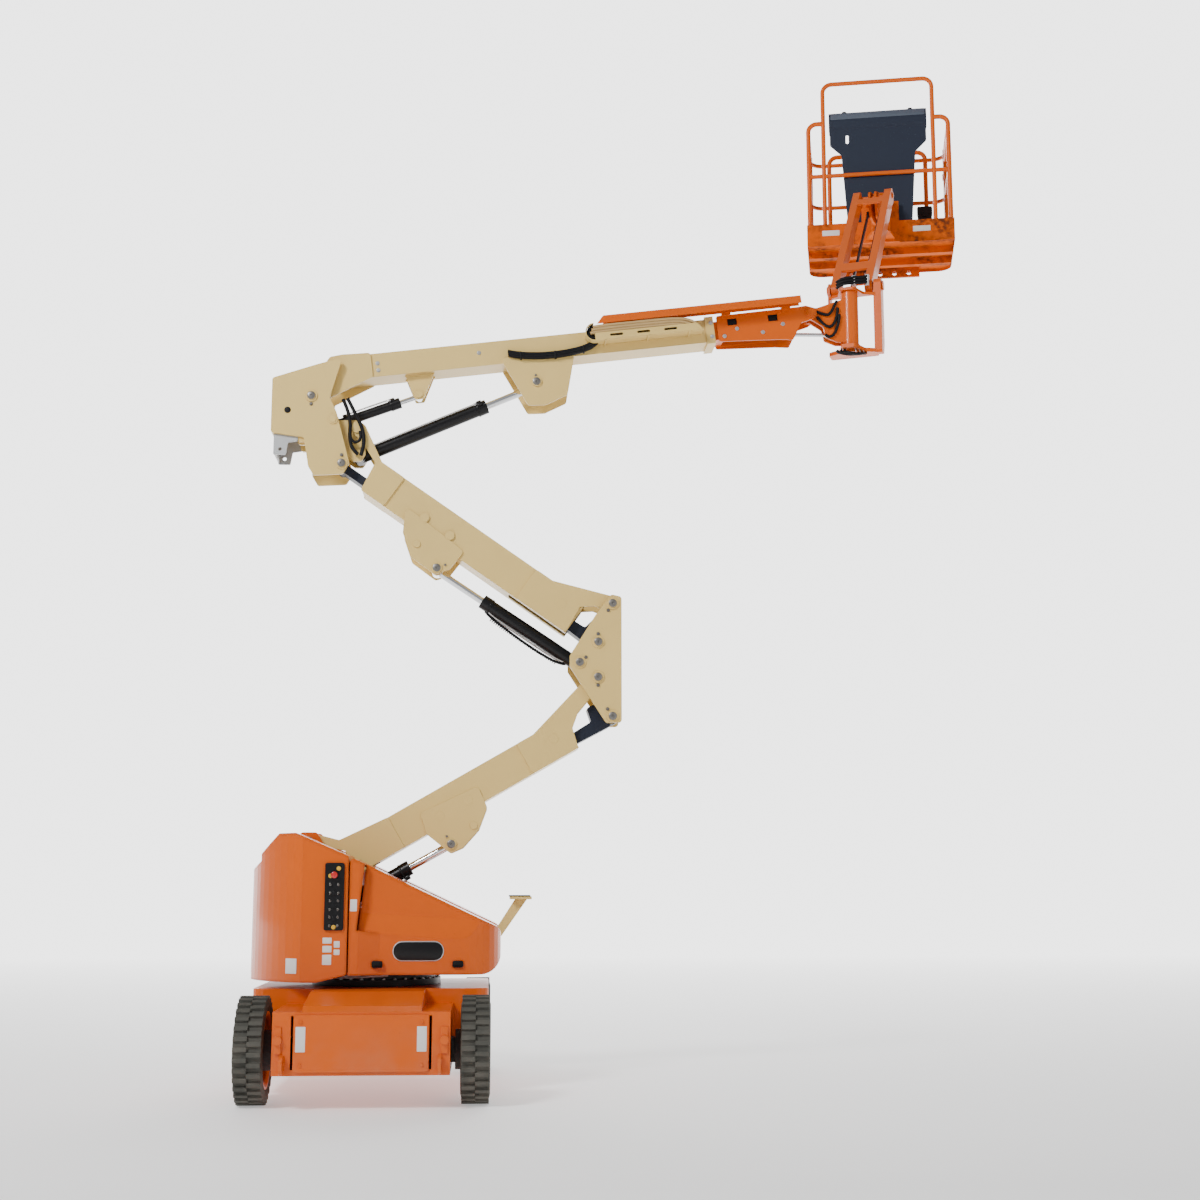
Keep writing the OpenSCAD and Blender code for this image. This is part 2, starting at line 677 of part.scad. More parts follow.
module counterweight() color(black) for (s = [-1, 1]) scale([1, s, 1])
    translate([0, 0, base_z + base_t]) linear_extrude(330)
        polygon(concat([[weight_x, -weight_in], [weight_x, -weight_half]],
        arc_pts([0, 0], tail_radius - weight_gap, tail_turn(weight_half, weight_gap),
            tail_turn(weight_in, weight_gap), 8)));
weight_gap = 40;
weight_in = channel_half + cover_wall + 5;
weight_half = tail_half - 100;
weight_x = 21 - sqrt(pow(tail_radius - weight_gap, 2) - pow(weight_half, 2));

module ground_panel() color(black) {
    y = -tail_half;
    translate([0, y, 0]) rotate([90, 0, 0]) linear_extrude(14)
        polygon(rounded([[-290, 1010], [-170, 1010], [-170, 1425], [-290, 1425]], 12));
    for (z = [1080, 1160, 1240]) translate([-230, y - 13, z]) rotate([90, 0, 0])
        cylinder(h = 12, r = 14, $fn = 24);
    translate([-230, y - 13, 1350]) rotate([90, 0, 0]) cylinder(h = 22, r = 24, $fn = 24);
}

module battery_packs() color(slate) for (s = [-1, 1]) {
    z = base_z + base_t;
    block([-60, s > 0 ? 240 : -540, z], [200, s > 0 ? 540 : -240, z + 270]);
    block([215, s > 0 ? 240 : -540, z], [475, s > 0 ? 540 : -240, z + 200]);
}

module boom_rest() color(cream) {
    top = pin_a0[1] + arm_bottom - 15;
    plate([[540, base_z + base_t], [640, base_z + base_t], [820, 960], [985, top - 18],
        [905, top - 18], [770, 985]], -45, 90);
    block([870, -105, top - 18], [1015, 105, top]);
}

// Box of an arm, hollow along its length
module arm_box(x0, x1, low, high) difference() {
    block([x0, -arm_half, low], [x1, arm_half, high]);
    block([x0 - 1, -arm_half + arm_wall, low + arm_wall], [x1 + 1, arm_half - arm_wall, high - arm_wall]);
}

// Slot under an arm's box, where its cylinder comes close when the arm is raised
module ram_slot(x0, x1, low) block([x0, -slot_half, low - 1], [x1, slot_half, low + arm_wall + 1]);
slot_half = barrel_r + 16;

lower_foot = rounded([[-52, 20], [-20, 52], [25, 52], [170, -90], [520, arm_top], [520, arm_bottom],
    [170, arm_bottom],
    [170, -170], [40, -58], [-25, -50], [-52, -20]], 16);
function tip_plate(l, top, low) = rounded([[l - 700, low], [l - 700, top], [l - 570, top],
    [l - 40, 44], [l + 22, 52], [l + 52, 15],
    [l + 52, -22], [l, -56], [l - 100, -88], [l - 228, -136], [l - 318, -212], [l - 348, low]], 18);
lower_horn = rounded([[687, -345], [716, -202], [1138, -236], [1120, -390], [1000, -490], [850, -540],
    [760, -530]], 26);

module lower_arm() color(cream) lower_frame() {
    l = lower_length;
    difference() {
        union() {
            arm_box(170, l - 344, arm_bottom, arm_top);
            plates(lower_foot, arm_half, ear_t);
            plates(tip_plate(l, arm_top, arm_bottom), arm_half, ear_t);
            plates(lower_horn, arm_half, ear_t);
            for (x = [0, l]) bars([x, 0], 52, arm_half + ear_t - 1, boss_end);
            eye_pins(lower_eye, 56, arm_half, ear_t);
            bars([984, -448], 25, arm_half, arm_half + ear_t + 8);
        }
        for (x = [0, l]) bar([x, 0], pin_r + pin_gap, -plate_in, plate_in);
        ram_slot(169, 330, arm_bottom);
    }
}

module lower_link() color(slate) translate([pin_p5[0], 0, pin_p5[1]]) mirror([1, 0, 0])
    rotate([0, lower_angle, 0])
    link(lower_length, 64, link_half, 46);

module lower_barrel() color(black) at(pin_ram, slope(pin_ram, lower_pin_world()))
    barrel(618, barrel_r, rod_r, 58, pin_r);
module lower_rod() color(steel) at(pin_ram, slope(pin_ram, lower_pin_world()))
    rod(312, span(pin_ram, lower_pin_world()), rod_r, 52, 25);

function lower_pin_world() = pin_a0 + turned(lower_eye, lower_angle);
function mirrored(p) = [-p[0], p[1]];
function mid_pin_world() = pin_p1 + mirrored(turned(mid_eye, mid_angle));
function lift_pin_world() = pin_main + turned(lift_eye, main_angle);
function level_pin_world() = pin_main + turned(level_eye, main_angle);
function hinge_world() = pin_main + turned(hinge_fly, main_angle);

// Outline of the middle upright around its pins
function mid_upright_side() = let (x = pin_p1[0] + 61)
    rounded([[x, pin_p5[1] - 44], [x, pin_p1[1] + 47], [pin_p1[0] - 10, pin_p1[1] + 62],
        [pin_p1[0] - 118, pin_p1[1] - 84],
    [pin_p3[0] - 67, pin_p3[1] + 45], [pin_p3[0] - 67, pin_p3[1] - 30],
        [pin_p5[0] - 45, pin_p5[1] - 45]], 22);

module mid_upright() color(cream) {
    x = pin_p1[0] + 61;
    plates(mid_upright_side(), plate_in, upright_plate);
    block([x - 18, -plate_in - 1, pin_p5[1] + 66], [x, plate_in + 1, pin_p1[1] - 70]);
    upright_pin(pin_p1, 0);
    upright_pin(pin_p2, link_collar);
    upright_pin(pin_p3, 60);
    upright_pin(pin_p4, 0);
    upright_pin(pin_p5, link_collar);
}

mid_horn = rounded([[1541, -256], [1447, -418], [1306, -522], [1103, -528], [1040, -440],
    [1032, -282]], 26);
function mid_tip(l) = rounded([[l - 470, mid_bottom], [l - 470, mid_top], [l - 280, mid_top],
    [l - 40, 42], [l + 18, 48], [l + 46, 15],
    [l + 46, -20], [l, -50], [l - 80, -62], [l - 245, -130], [l - 275, mid_bottom]], 18);
function mid_foot() = rounded([[-52, 15], [-22, 52], [40, 44], [425, mid_top], [560, mid_top],
    [560, mid_bottom], [345 - 195, mid_bottom],
    [170, -140], [90, -78], [0, -56], [-52, -22]], 18);

module mid_arm() color(cream) mid_frame() {
    l = mid_length;
    difference() {
        union() {
            arm_box(150, l - 290, mid_bottom, mid_top);
            plates(mid_foot(), arm_half, ear_t);
            plates(mid_tip(l), arm_half, ear_t);
            plates(mid_horn, arm_half, ear_t);
            bars([0, 0], 52, arm_half + ear_t - 1, boss_end);
            eye_pins(mid_eye, 56, arm_half, ear_t);
            bars([1324, -427], 25, arm_half, arm_half + ear_t + 8);
        }
        bar([0, 0], pin_r + pin_gap, -plate_in, plate_in);
        bar([l, 0], pin_r + pin_gap, -plate_in, plate_in);
        block([l - 560, -arm_half + arm_wall, mid_top - 60], [l, arm_half - arm_wall, mid_top + 1]);
        ram_slot(149, 620, mid_bottom);
    }
}

module mid_link() color(slate) translate([pin_p2[0], 0, pin_p2[1]]) mirror([1, 0, 0])
    rotate([0, -mid_angle, 0])
    link(mid_length, 58, link_half, 42);

module mid_barrel() color(black) at(pin_p3, slope(pin_p3, mid_pin_world()))
    barrel(790, barrel_r, rod_r, 58, pin_r);
module mid_rod() color(steel) at(pin_p3, slope(pin_p3, mid_pin_world()))
    rod(430, span(pin_p3, mid_pin_world()), rod_r, 52, 25);

function around(p, pts) = [for (q = pts) p + q];

// Outline of the upper upright, around the main pivot
upper_side = rounded([[-268, -263], [-268, 123], [34, 225], [206, 276], [125, -8], [175, -116],
    [269, -469], [226, -545],
    [28, -557], [-10, -493], [-43, -293]], 20);
inner_lug = [[-90, -330], [-90, -160], [300, -150], [362, -190], [372, -390], [345, -440], [285, -440],
    [150, -330]];

module upper_upright() color(cream) {
    difference() {
        plates(around(pin_main, upper_side), plate_in, upright_plate);
        bar(pin_main + [-159, -103], 15, -plate_out - 1, plate_out + 1);
    }
    plates(around(pin_main, rounded(inner_lug, 22)), lug_in, lug_out - lug_in);
    for (s = [-1, 1]) {
        y0 = s > 0 ? lug_out - 1 : -plate_in - 1;
        block([pin_main[0] - 80, y0, pin_main[1] - 320],
            [pin_main[0] + 40, y0 + plate_in - lug_out + 2, pin_main[1] - 170]);
    }
    block([pin_main[0] - 268, -plate_in - 1, pin_main[1] - 250],
        [pin_main[0] - 250, plate_in + 1, pin_main[1] + 60]);
    upright_pin(pin_main, 0);
    bar(pin_c, pin_r, -plate_out - 14, plate_out + 14);
    bars(pin_c, pin_r + 12, plate_out, plate_out + 8);
    bars(pin_u1, pin_r, lug_in, arm_half + ear_t + 12);
    bars(pin_u1, pin_r + 10, arm_half + ear_t + 3, arm_half + ear_t + 12);
    bar(pin_lift, pin_r, -lug_out - 4, lug_out + 4);
    bars(pin_level, pin_r + 10, 46, plate_in + 1);
    bar(pin_level, 25, -plate_out - 12, plate_out + 12);
    bars(pin_level, 36, plate_out, plate_out + 8);
}

// Bare bracket inside the foot of the upper upright
module rear_bracket() color(steel) difference() {
    union() {
        plates(around(pin_main, rounded([[-249, -210], [-249, -412], [-165, -412], [-150, -325],
            [-86, -315], [-86, -210]], 8)),
            plate_in - bracket_t - seat_gap, bracket_t);
        block([pin_main[0] - 249, -plate_in + bracket_t, pin_main[1] - 400],
            [pin_main[0] - 237, plate_in - bracket_t, pin_main[1] - 260]);
    }
    bar(pin_main + [-205, -372], 13, -plate_in, plate_in);
}
bracket_t = 12;

module lift_barrel() color(black) at(pin_lift, slope(pin_lift, lift_pin_world()))
    barrel(950, barrel_r, rod_r, 58, pin_r);
module lift_rod() color(steel) at(pin_lift, slope(pin_lift, lift_pin_world()))
    rod(230, span(pin_lift, lift_pin_world()), rod_r, 52, 25);
module level_barrel() color(black) at(pin_level, slope(pin_level, level_pin_world()))
    barrel(480, 34, 18, 42, 25);
module level_rod() color(steel) at(pin_level, slope(pin_level, level_pin_world()))
    rod(120, span(pin_level, level_pin_world()), 18, 36, 18);

boom_low = 105;
boom_high = boom_low + boom_depth;
boom_foot = rounded([[-62, 10], [-30, 62], [150, boom_high + 6], [235, boom_high + 14],
    [430, boom_high + 6], [430, boom_low],
    [130, -10], [60, -60], [-30, -62], [-62, -20]], 22);
boom_horn = rounded([[1332, boom_low + 40], [1332, boom_low + 2], [1470, -215], [1590, -224],
    [1750, -168], [1827, boom_low - 15],
    [1827, boom_low + 40]], 24);
level_horn = rounded([[640, boom_low + 5], [655, boom_low - 12], [700, -70], [760, -70],
    [845, boom_low - 12],
    [860, boom_low + 5]], 14);

module main_boom() color(cream) main_frame() {
    difference() {
        union() {
            difference() {
                block([160, -boom_half, boom_low], [boom_length, boom_half, boom_high]);
                block([170, -boom_half + boom_wall, boom_low + boom_wall],
                    [boom_length + 1, boom_half - boom_wall, boom_high - boom_wall]);
            }
            plates(boom_foot, boom_half, ear_t);
            bars([0, 0], 56, boom_half + ear_t - 1, boss_end);
            plates(boom_horn, boom_half, ear_t);
            plates(level_horn, 42, 12);
            eye_pins(lift_eye, 56, boom_half, ear_t);
            bars(level_eye, 28, 54, 62);
            difference() {
                block([boom_length - 60, -boom_half - 14, boom_low - 14],
                    [boom_length, boom_half + 14, boom_high + 14]);
                block([boom_length - 70, -boom_half + 1, boom_low + 1],
                    [boom_length + 1, boom_half - 1, boom_high - 1]);
            }
            boom_tray();
        }
        bar([0, 0], pin_r + pin_gap, -plate_in, plate_in);
    }
}

// Cable tray on the near side of the base boom
tray_x = boom_length - 850;
tray_z = 168;
module boom_tray() {
    y0 = -boom_half - 112;
    x1 = boom_length - 90;
    block([tray_x, y0, tray_z], [x1, -boom_half + 1, tray_z + 6]);
    difference() {
        plate(rounded([[tray_x, tray_z], [x1, tray_z], [x1 - 40, tray_z + 54], [tray_x, tray_z + 54]],
            10), y0, 6);
        for (x = [tray_x + 150:190:x1 - 150])
            plate(rounded([[x - 45, tray_z + 22], [x + 45, tray_z + 22], [x + 45, tray_z + 38],
                [x - 45, tray_z + 38]], 7), y0 - 1, 8);
    }
    translate([tray_x, -boom_half + 1, tray_z + 64]) rotate([90, 0, 0]) rotate([0, 0, 90])
        rotate_extrude(angle = 180) translate([58, 0]) square([6, 113]);
    for (x = [tray_x + 65, tray_x + 365, tray_x + 655])
        block([x, y0 + 1, tray_z - 8], [x + 12, -boom_half + 1, tray_z + 2]);
}

fly_low = 122;
fly_high = 255;
fly_end = hinge_fly[0];
fly_start = 560;
tube_end = fly_end - 307;
fly_plate = rounded([[fly_end - 675, 106], [fly_end - 675, 292], [fly_end - 80, 298],
    [fly_end - 25, 302], [fly_end + 42, 275], [fly_end + 46, 225],
    [fly_end + 10, 200], [fly_end - 75, 180], [fly_end - 150, 62], [fly_end - 250, 76]], 16);

module fly_boom() color(orange) main_frame() difference() {
    union() {
        difference() {
            block([fly_start, -fly_half, fly_low], [tube_end, fly_half, fly_high]);
            block([fly_start - 1, -fly_half + boom_wall, fly_low + boom_wall],
                [tube_end + 1, fly_half - boom_wall, fly_high - boom_wall]);
            block([fly_end - 637, -fly_half + boom_wall, fly_low - 1],
                [tube_end + 1, fly_half - boom_wall, fly_low + boom_wall + 1]);
        }
        plates(fly_plate, fly_half, 12);
        bar(hinge_fly, 25, -fly_half - 26, fly_half + 26);
        bars(hinge_fly, 36, fly_half + 12, fly_half + 20);
        block([fly_end - 247, -fly_half - 1, 280], [fly_end - 117, fly_half + 1, 290]);
        bar(slave_base, 18, -fly_half, fly_half);
        fly_tray();
    }
    for (x = [fly_end - 565, fly_end - 273]) block([x - 34, -fly_half - 20, 214],
        [x + 34, fly_half + 20, 262]);
}

// Upper cable carrier, which moves with the fly boom
module fly_tray() {
    y0 = -boom_half - 106;
    x0 = tray_x + 75;
    x1 = fly_end - 77;
    top = 344;
    plate([[x0 - 15, top - 14], [x0 - 50, top - 54], [x1, top - 54], [x1, top], [x0, top]], y0, 5);
    block([x0, y0, top - 6], [x1, y0 + 96, top]);
    plate([[x0, top - 44], [x1, top - 44], [x1, top], [x0, top]], y0 + 91, 5);
    for (x = [fly_end - 637, fly_end - 207]) {
        block([x, y0 + 90, top - 56], [x + 65, -fly_half - 11, top]);
        block([x, -fly_half - 16, top - 74], [x + 65, -fly_half, top]);
    }
}

slave_eye = [3120 - 2960 + hinge_world()[0], 5155 - 5290 + hinge_world()[1]];
function slave_world() = pin_main + turned(slave_base, main_angle);
module slave_barrel() color(black) at(slave_world(), slope(slave_world(), slave_eye))
    barrel(350, 28, 14, 40, 18);
module slave_rod() color(steel) at(slave_world(), slope(slave_world(), slave_eye))
    rod(275, span(slave_world(), slave_eye), 14, 25, 18);

// Bracket that the levelling cylinder keeps upright, with the column of the jib's swing
bracket_side = rounded([[-44, 10], [-10, 44], [60, 50], [250, 120], [290, 150], [290, -200],
    [200, -200], [120, -170], [100, -90],
    [20, -40], [-35, -30]], 18);
module jib_bracket() color(orange) {
    h = hinge_world();
    difference() {
        union() {
            plates(around(h, bracket_side), 32, 16);
            bars(h, 40, 47, fly_half - run_gap);
            translate([swing_x, 0, column_low]) cylinder(h = column_high - column_low, r = 62);
            block([h[0] + 232, -33, h[1] - 190], [h[0] + 280, 33, h[1] + 120]);
            bars(slave_eye, 18, 27, 33);
            bars(slave_eye, 28, 48, 56);
        }
        bar(h, 25 + pin_gap, -100, 100);
        translate([swing_x, 0, column_low - 50]) cylinder(h = 600, r = 32 + pin_gap);
    }
}

yoke_in = 157;
yoke_out = 173;
rail_in = 95;
rail_out = 150;
post_t = 56;
link_y = 50;
function head_plan(reach) = rounded([[-80, -50], [55, -95], [95, -yoke_out], [reach, -yoke_out],
    [reach, yoke_out], [95, yoke_out],
    [55, 95], [-80, 50]], 14);

// Hollow post on the right of the head, from its foot to the jib's pin
module jib_post() difference() {
    plate(rounded([[95, column_low - 29], [170, column_low - 29], [198, column_low + 60],
        [198, jib_pin[1] + 20],
        [170, jib_pin[1] + 50], [120, jib_pin[1] + 50], [95, jib_pin[1] + 20]], 18), -yoke_in - post_t,
            post_t);
    plate(rounded([[105, column_low - 10], [160, column_low - 10], [186, column_low + 60],
        [186, jib_pin[1] - 60],
        [105, jib_pin[1] - 60]], 10), -yoke_in - post_t + 8, post_t - 16);
    plate(rounded([[118, column_low + 40], [172, column_low + 70], [172, column_high - 60],
        [118, column_high - 60]], 20),
        -yoke_in - 9, 10);
}

// Head that swings on the column and carries the jib's pins
module jib_head() color(orange) jib_frame() difference() {
    union() {
        plate(rounded([[95, column_high - 60], [140, column_high - 60], [198, jib_pin[1] - 20],
            [198, jib_pin[1] + 20],
            [170, jib_pin[1] + 50], [120, jib_pin[1] + 50], [95, jib_pin[1] + 20]], 18), yoke_in,
                yoke_out - yoke_in);
        jib_post();
        translate([0, 0, column_high + 1]) linear_extrude(20) polygon(head_plan(105));
        translate([0, 0, column_low - 29]) linear_extrude(28) polygon(head_plan(195));
        translate([0, 0, column_low - 45]) cylinder(h = column_high - column_low + 80, r = 32);
        translate([0, 0, column_high + 20]) cylinder(h = 15, r = 46);
        plates(rounded([[70, column_low - 10], [140, column_low - 10], [132, jib_ram[1] + 28],
            [78, jib_ram[1] + 28]], 12), 27, 12);
        bar(jib_ram, 14, -46, 46);
        plate(rounded([[30, column_high + 1], [30, column_high + 21], [100, column_high + 21],
            [190, jib_pin[1] - 97],
            [207, jib_pin[1] - 122], [180, jib_pin[1] - 150], [150, jib_pin[1] - 147],
                [78, column_high + 1]], 10), 60, 10);
        bar(jib_pin + jib_link_off, link_pin_r, link_y - 12, 71);
    }
    bar(jib_pin, jib_pin_r + pin_gap, -yoke_in - post_t - 1, yoke_out + 1);
}

// One hollow rail of the jib, on the side s
module jib_rail(s) {
    y0 = s > 0 ? rail_in : -rail_out;
    difference() {
        block([0, y0, -55], [jib_length, y0 + rail_out - rail_in, 55]);
        block([60, y0 + 6, -49], [jib_length - 60, y0 + rail_out - rail_in - 6, 49]);
    }
}

module jib_arm() color(orange) jib_line() difference() {
    union() {
        for (s = [-1, 1]) jib_rail(s);
        bars([0, 0], 55, rail_in, rail_out);
        bars([jib_length, 0], 55, rail_in, rail_out);
        block([jib_length - 190, -rail_in - 1, 39], [jib_length - 110, rail_in + 1, 55]);
        block([190, -rail_in - 1, 39], [300, rail_in + 1, 55]);
        bar([0, 0], jib_pin_r, rail_out - 1, yoke_out + 12);
        bar([0, 0], jib_pin_r + 12, yoke_out + 2, yoke_out + 12);
        bar([0, 0], jib_pin_r, -yoke_in - post_t - 12, -rail_out + 1);
        bar([0, 0], jib_pin_r + 12, -yoke_in - post_t - 12, -yoke_in - post_t - 2);
        bar(jib_eye, 14, -rail_in - 1, -17);
        bar([jib_length, 0], end_pin_r, -rail_out - 10, rail_out + 10);
        bars([jib_length, 0], end_pin_r + 10, rail_out, rail_out + 8);
    }
}

module jib_link() color(slate) jib_frame() translate([0, link_y, 0])
    at(jib_pin + jib_link_off, jib_angle) difference() {
    union() {
        block([0, -7, -13], [jib_length, 7, 13]);
        for (x = [0, jib_length]) bar([x, 0], 26, -8, 8);
    }
    for (x = [0, jib_length]) bar([x, 0], link_pin_r + pin_gap, -9, 9);
}

module platform_mount() color(orange) jib_frame() {
    j = jib_end;
    difference() {
        union() {
            plates(around(j, rounded([[-45, 35], [45, 62], [mount_reach - 60, 70],
                [mount_reach - 60, -140], [90, -165], [0, -160],
                [-45, -30]], 22)), 15, 18);
            bar(j + jib_link_off, link_pin_r, 20, link_y + 12);
            translate([axis_u, 0, bench_z]) cylinder(h = 260, r = rotor_r);
            block([axis_u - 90, -34, bench_z + 20], [axis_u - 40, 34, bench_z + 250]);
        }
        translate([axis_u, 0, bench_z - 1]) cylinder(h = 262, r = 32 + pin_gap);
        bar(j, end_pin_r + pin_gap, -40, 40);
    }
}

jib_eye_world = jib_pin + turned(jib_eye, jib_angle);
module jib_ram_frame() jib_frame() at(jib_ram, slope(jib_ram, jib_eye_world)) children();
module jib_barrel() color(black) jib_ram_frame() barrel(308, 24, 13, 25, 14);
module jib_rod() color(steel) jib_ram_frame() rod(236, span(jib_ram, jib_eye_world), 13, 14, 14);

half_w = platform_width / 2;
far_y = near_y + platform_depth;
floor_plan = concat([[-half_w, near_y], [half_w, near_y]],
    arc_pts([half_w - 110, far_y - 110], 110, 0, 90, 6),
        arc_pts([-half_w + 110, far_y - 110], 110, 90, 180, 6));
floor_core = concat([[-half_w + 5, near_y + 5], [half_w - 5, near_y + 5]],
    arc_pts([half_w - 110, far_y - 110], 105, 0, 90, 6),
        arc_pts([-half_w + 110, far_y - 110], 105, 90, 180, 6));

module platform_floor() color(orange) platform_frame() {
    difference() {
        translate([0, 0, floor_z]) linear_extrude(toe_height) polygon(floor_plan);
        translate([0, 0, floor_z + 30]) linear_extrude(toe_height) polygon(floor_core);
        translate([0, 0, floor_z - 1]) linear_extrude(25) polygon(floor_core);
    }
    for (y = [near_y + 200, near_y + 450]) block([-half_w + 4, y, floor_z - 30],
        [half_w - 4, y + 60, floor_z + 26]);
    difference() {
        block([-330, far_y - 90, floor_z - 62], [330, far_y - 60, floor_z + 26]);
        for (x = [-240:120:240]) translate([x, far_y, floor_z - 28]) rotate([90, 0, 0])
            cylinder(h = 120, r = 19);
    }
    block([-150, near_y - 20, floor_z], [150, near_y + 1, bench_z + 300]);
    for (z = [bench_z - 26, bench_z + 261]) translate([0, 0, z]) linear_extrude(25)
        polygon(concat(arc_pts([0, 0], rotor_r, 180, 360, 10), [[120, near_y - 10], [-120, near_y - 10]]));
    translate([0, 0, bench_z - 20]) cylinder(h = 300, r = 32);
}

// Quarter bend of a rail in the plane of X and Z, around c, from angle a
module bend_xz(c, big, r, a) translate(c) rotate([90, 0, 0]) bend(big, r, a);

// Quarter bend of a rail in the plane of X and Y
module bend(big, r, a) rotate([0, 0, a]) rotate_extrude(angle = 90, $fn = 32)
    translate([big, 0]) circle(r = r, $fn = 24);

// Upright loop across the platform at y, with legs at plus and minus x from z0 up to z1
module hoop(x, y, z0, z1, big, r) {
    for (s = [-1, 1]) rail([s * x, y, z0], [s * x, y, z1 - big], r);
    rail([-x + big, y, z1], [x - big, y, z1], r);
    bend_xz([x - big, y, z1 - big], big, r, 0);
    bend_xz([-x + big, y, z1 - big], big, r, 90);
}

// Loop to hold on to, hung inside the side rail on the side s
module grab_loop(s, top) {
    x = s * (post_x - 1);
    y0 = near_y + 120;
    low = top - 290;
    for (y = [y0, y0 + 110]) rail([x, y, low + 30], [x, y, top - 76], grab_r);
    rail([x, y0 + 30, low], [x, y0 + 80, low], grab_r);
    for (k = [0, 1]) translate([x, y0 + (k > 0 ? 80 : 30), low + 30]) rotate([90, 0, 90])
        bend(30, grab_r, k > 0 ? 270 : 180);
}
grab_r = 10;

// Rail round the far side at height z: its left leg starts at y0 and its right leg at y1
module round_rail(y0, y1, z, r) {
    rail([-post_x, y0, z], [-post_x, post_y, z], r);
    translate([-post_x + rail_bend, post_y, z]) bend(rail_bend, r, 90);
    rail([-post_x + rail_bend, post_y + rail_bend, z], [post_x - rail_bend, post_y + rail_bend, z], r);
    translate([post_x - rail_bend, post_y, z]) bend(rail_bend, r, 0);
    rail([post_x, y1, z], [post_x, post_y, z], r);
}

post_x = half_w - rail_r - 6;
rail_bend = 110;
post_y = far_y - rail_r - 6 - rail_bend;
guard_height = 1412;

module platform_rails() color(orange) platform_frame() {
    yn = near_y + rail_r + 6;
    top = floor_z + rail_height;
    mid = floor_z + rail_height * 0.57;
    z0 = floor_z + 30;
    thin_r = rail_r - 2;
    guard_x = half_w * 0.75;
    for (s = [-1, 1]) {
        rail([s * post_x, yn, z0], [s * post_x, yn, top - 70], rail_r);
        bend_xz([s * (post_x - 70), yn, top - 70], 70, rail_r, s > 0 ? 0 : 90);
        rail([s * (post_x - 70), yn, top], [s * guard_x, yn, top], rail_r);
    }
    grab_loop(-1, top);
    hoop(guard_x, yn, z0, floor_z + guard_height, 75, rail_r - 1);
    hoop(post_x - 160, post_y + rail_bend, z0, top, 70, rail_r);
    rail([-post_x, yn, mid], [post_x, yn, mid], thin_r);
    for (s = [-1, 1]) rail([s * post_x, post_y, z0], [s * post_x, post_y, top - 40], rail_r);
    round_rail(yn, yn, top - 75, thin_r);
    round_rail(yn, post_y - 1, mid, thin_r);
}

module console() color(slate) platform_frame() {
    z = floor_z;
    y = near_y + 42;
    translate([0, y + 6, 0]) rotate([90, 0, 0]) linear_extrude(6) difference() {
        polygon(rounded([[-260, z + 180], [260, z + 180], [290, z + 640], [300, z + 790],
            [392, z + 880], [392, z + 1050],
            [-392, z + 1050], [-392, z + 880], [-300, z + 790], [-290, z + 640]], 24));
        polygon(rounded([[-262, z + 890], [-238, z + 890], [-238, z + 965], [-262, z + 965]], 11));
    }
    slab(rounded([[y - 12, z + 1040], [y - 12, z + 1095], [y + 14, z + 1172], [y + 165, z + 1128],
        [y + 190, z + 1050],
        [y + 6, z + 1000]], 12), -398, 796);
    block([-255, y + 5, z + 30], [255, y + 90, z + 640]);
    for (x = [-200, 180]) block([x, y + 5, z + 640], [x + 20, y + 60, z + 1012]);
}

// Closed box for papers, on the far rail's inner side
papers_w = 120;
papers_x = half_w - papers_w - 145;
module manual_box() color(black) platform_frame() {
    y1 = post_y + rail_bend - rail_r - seat_gap;
    z = floor_z + 220;
    difference() {
        block([papers_x, y1 - 55, z], [papers_x + papers_w, y1, z + 330]);
        block([papers_x + 6, y1 - 49, z + 6], [papers_x + papers_w - 6, y1 - 6, z + 250]);
    }
    block([papers_x - 4, y1 - 60, z + 262], [papers_x + papers_w + 4, y1 - 1, z + 318]);
    x = papers_x + papers_w / 2;
    block([x - 15, y1 - 66, z + 240], [x + 15, y1 - 54, z + 300]);
}

module gate() color(orange) platform_frame() {
    x = post_x;
    y0 = near_y + 3 * rail_r + 14;
    post = post_y;
    y1 = post - 56;
    for (z = [floor_z + rail_height * 0.57, floor_z + rail_height - 160])
        rail([x, y0, z], [x, y1, z], rail_r - 2);
    for (y = [y0, y1]) rail([x, y, floor_z + 240], [x, y, floor_z + rail_height - 160], rail_r - 2);
    rail([x, y0, floor_z + 240], [x, y1, floor_z + 240], rail_r - 2);
    for (z = [floor_z + 300, floor_z + 760]) difference() {
        union() {
            translate([x, post, z]) cylinder(h = 50, r = rail_r + 7);
            block([x - 8, y1, z], [x + 8, post, z + 50]);
        }
        translate([x, post, z - 1]) cylinder(h = 52, r = rail_r + pin_gap);
    }
}

chassis_frame();
end_covers();
drive_axle();
steer_axle();
slew_ring();
tyre_drive_left();
tyre_drive_right();
tyre_steer_left();
tyre_steer_right();
rim_drive_left();
rim_drive_right();
rim_steer_left();
rim_steer_right();
knuckle_left();
knuckle_right();
tie_rod();
turntable_frame();
counterweight();
tail_covers();
ground_panel();
battery_packs();
boom_rest();
hood_near();
hood_far();
lower_arm();
lower_link();
lower_barrel();
lower_rod();
mid_upright();
mid_arm();
mid_link();
mid_barrel();
mid_rod();
upper_upright();
rear_bracket();
lift_barrel();
lift_rod();
level_barrel();
level_rod();
main_boom();
fly_boom();
slave_barrel();
slave_rod();
jib_bracket();
jib_head();
jib_arm();
jib_link();
jib_barrel();
jib_rod();
platform_mount();
platform_floor();
platform_rails();
console();
manual_box();
gate();
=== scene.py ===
"""Looks of an articulating boom lift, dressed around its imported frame.

The machine stands on the floor with its tower part-raised, its boom telescoped in and its jib
swung out to the side. The solids keep their shapes; this script paints them and adds the small
things that they carry. Lengths are metres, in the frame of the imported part.
"""

from __future__ import annotations

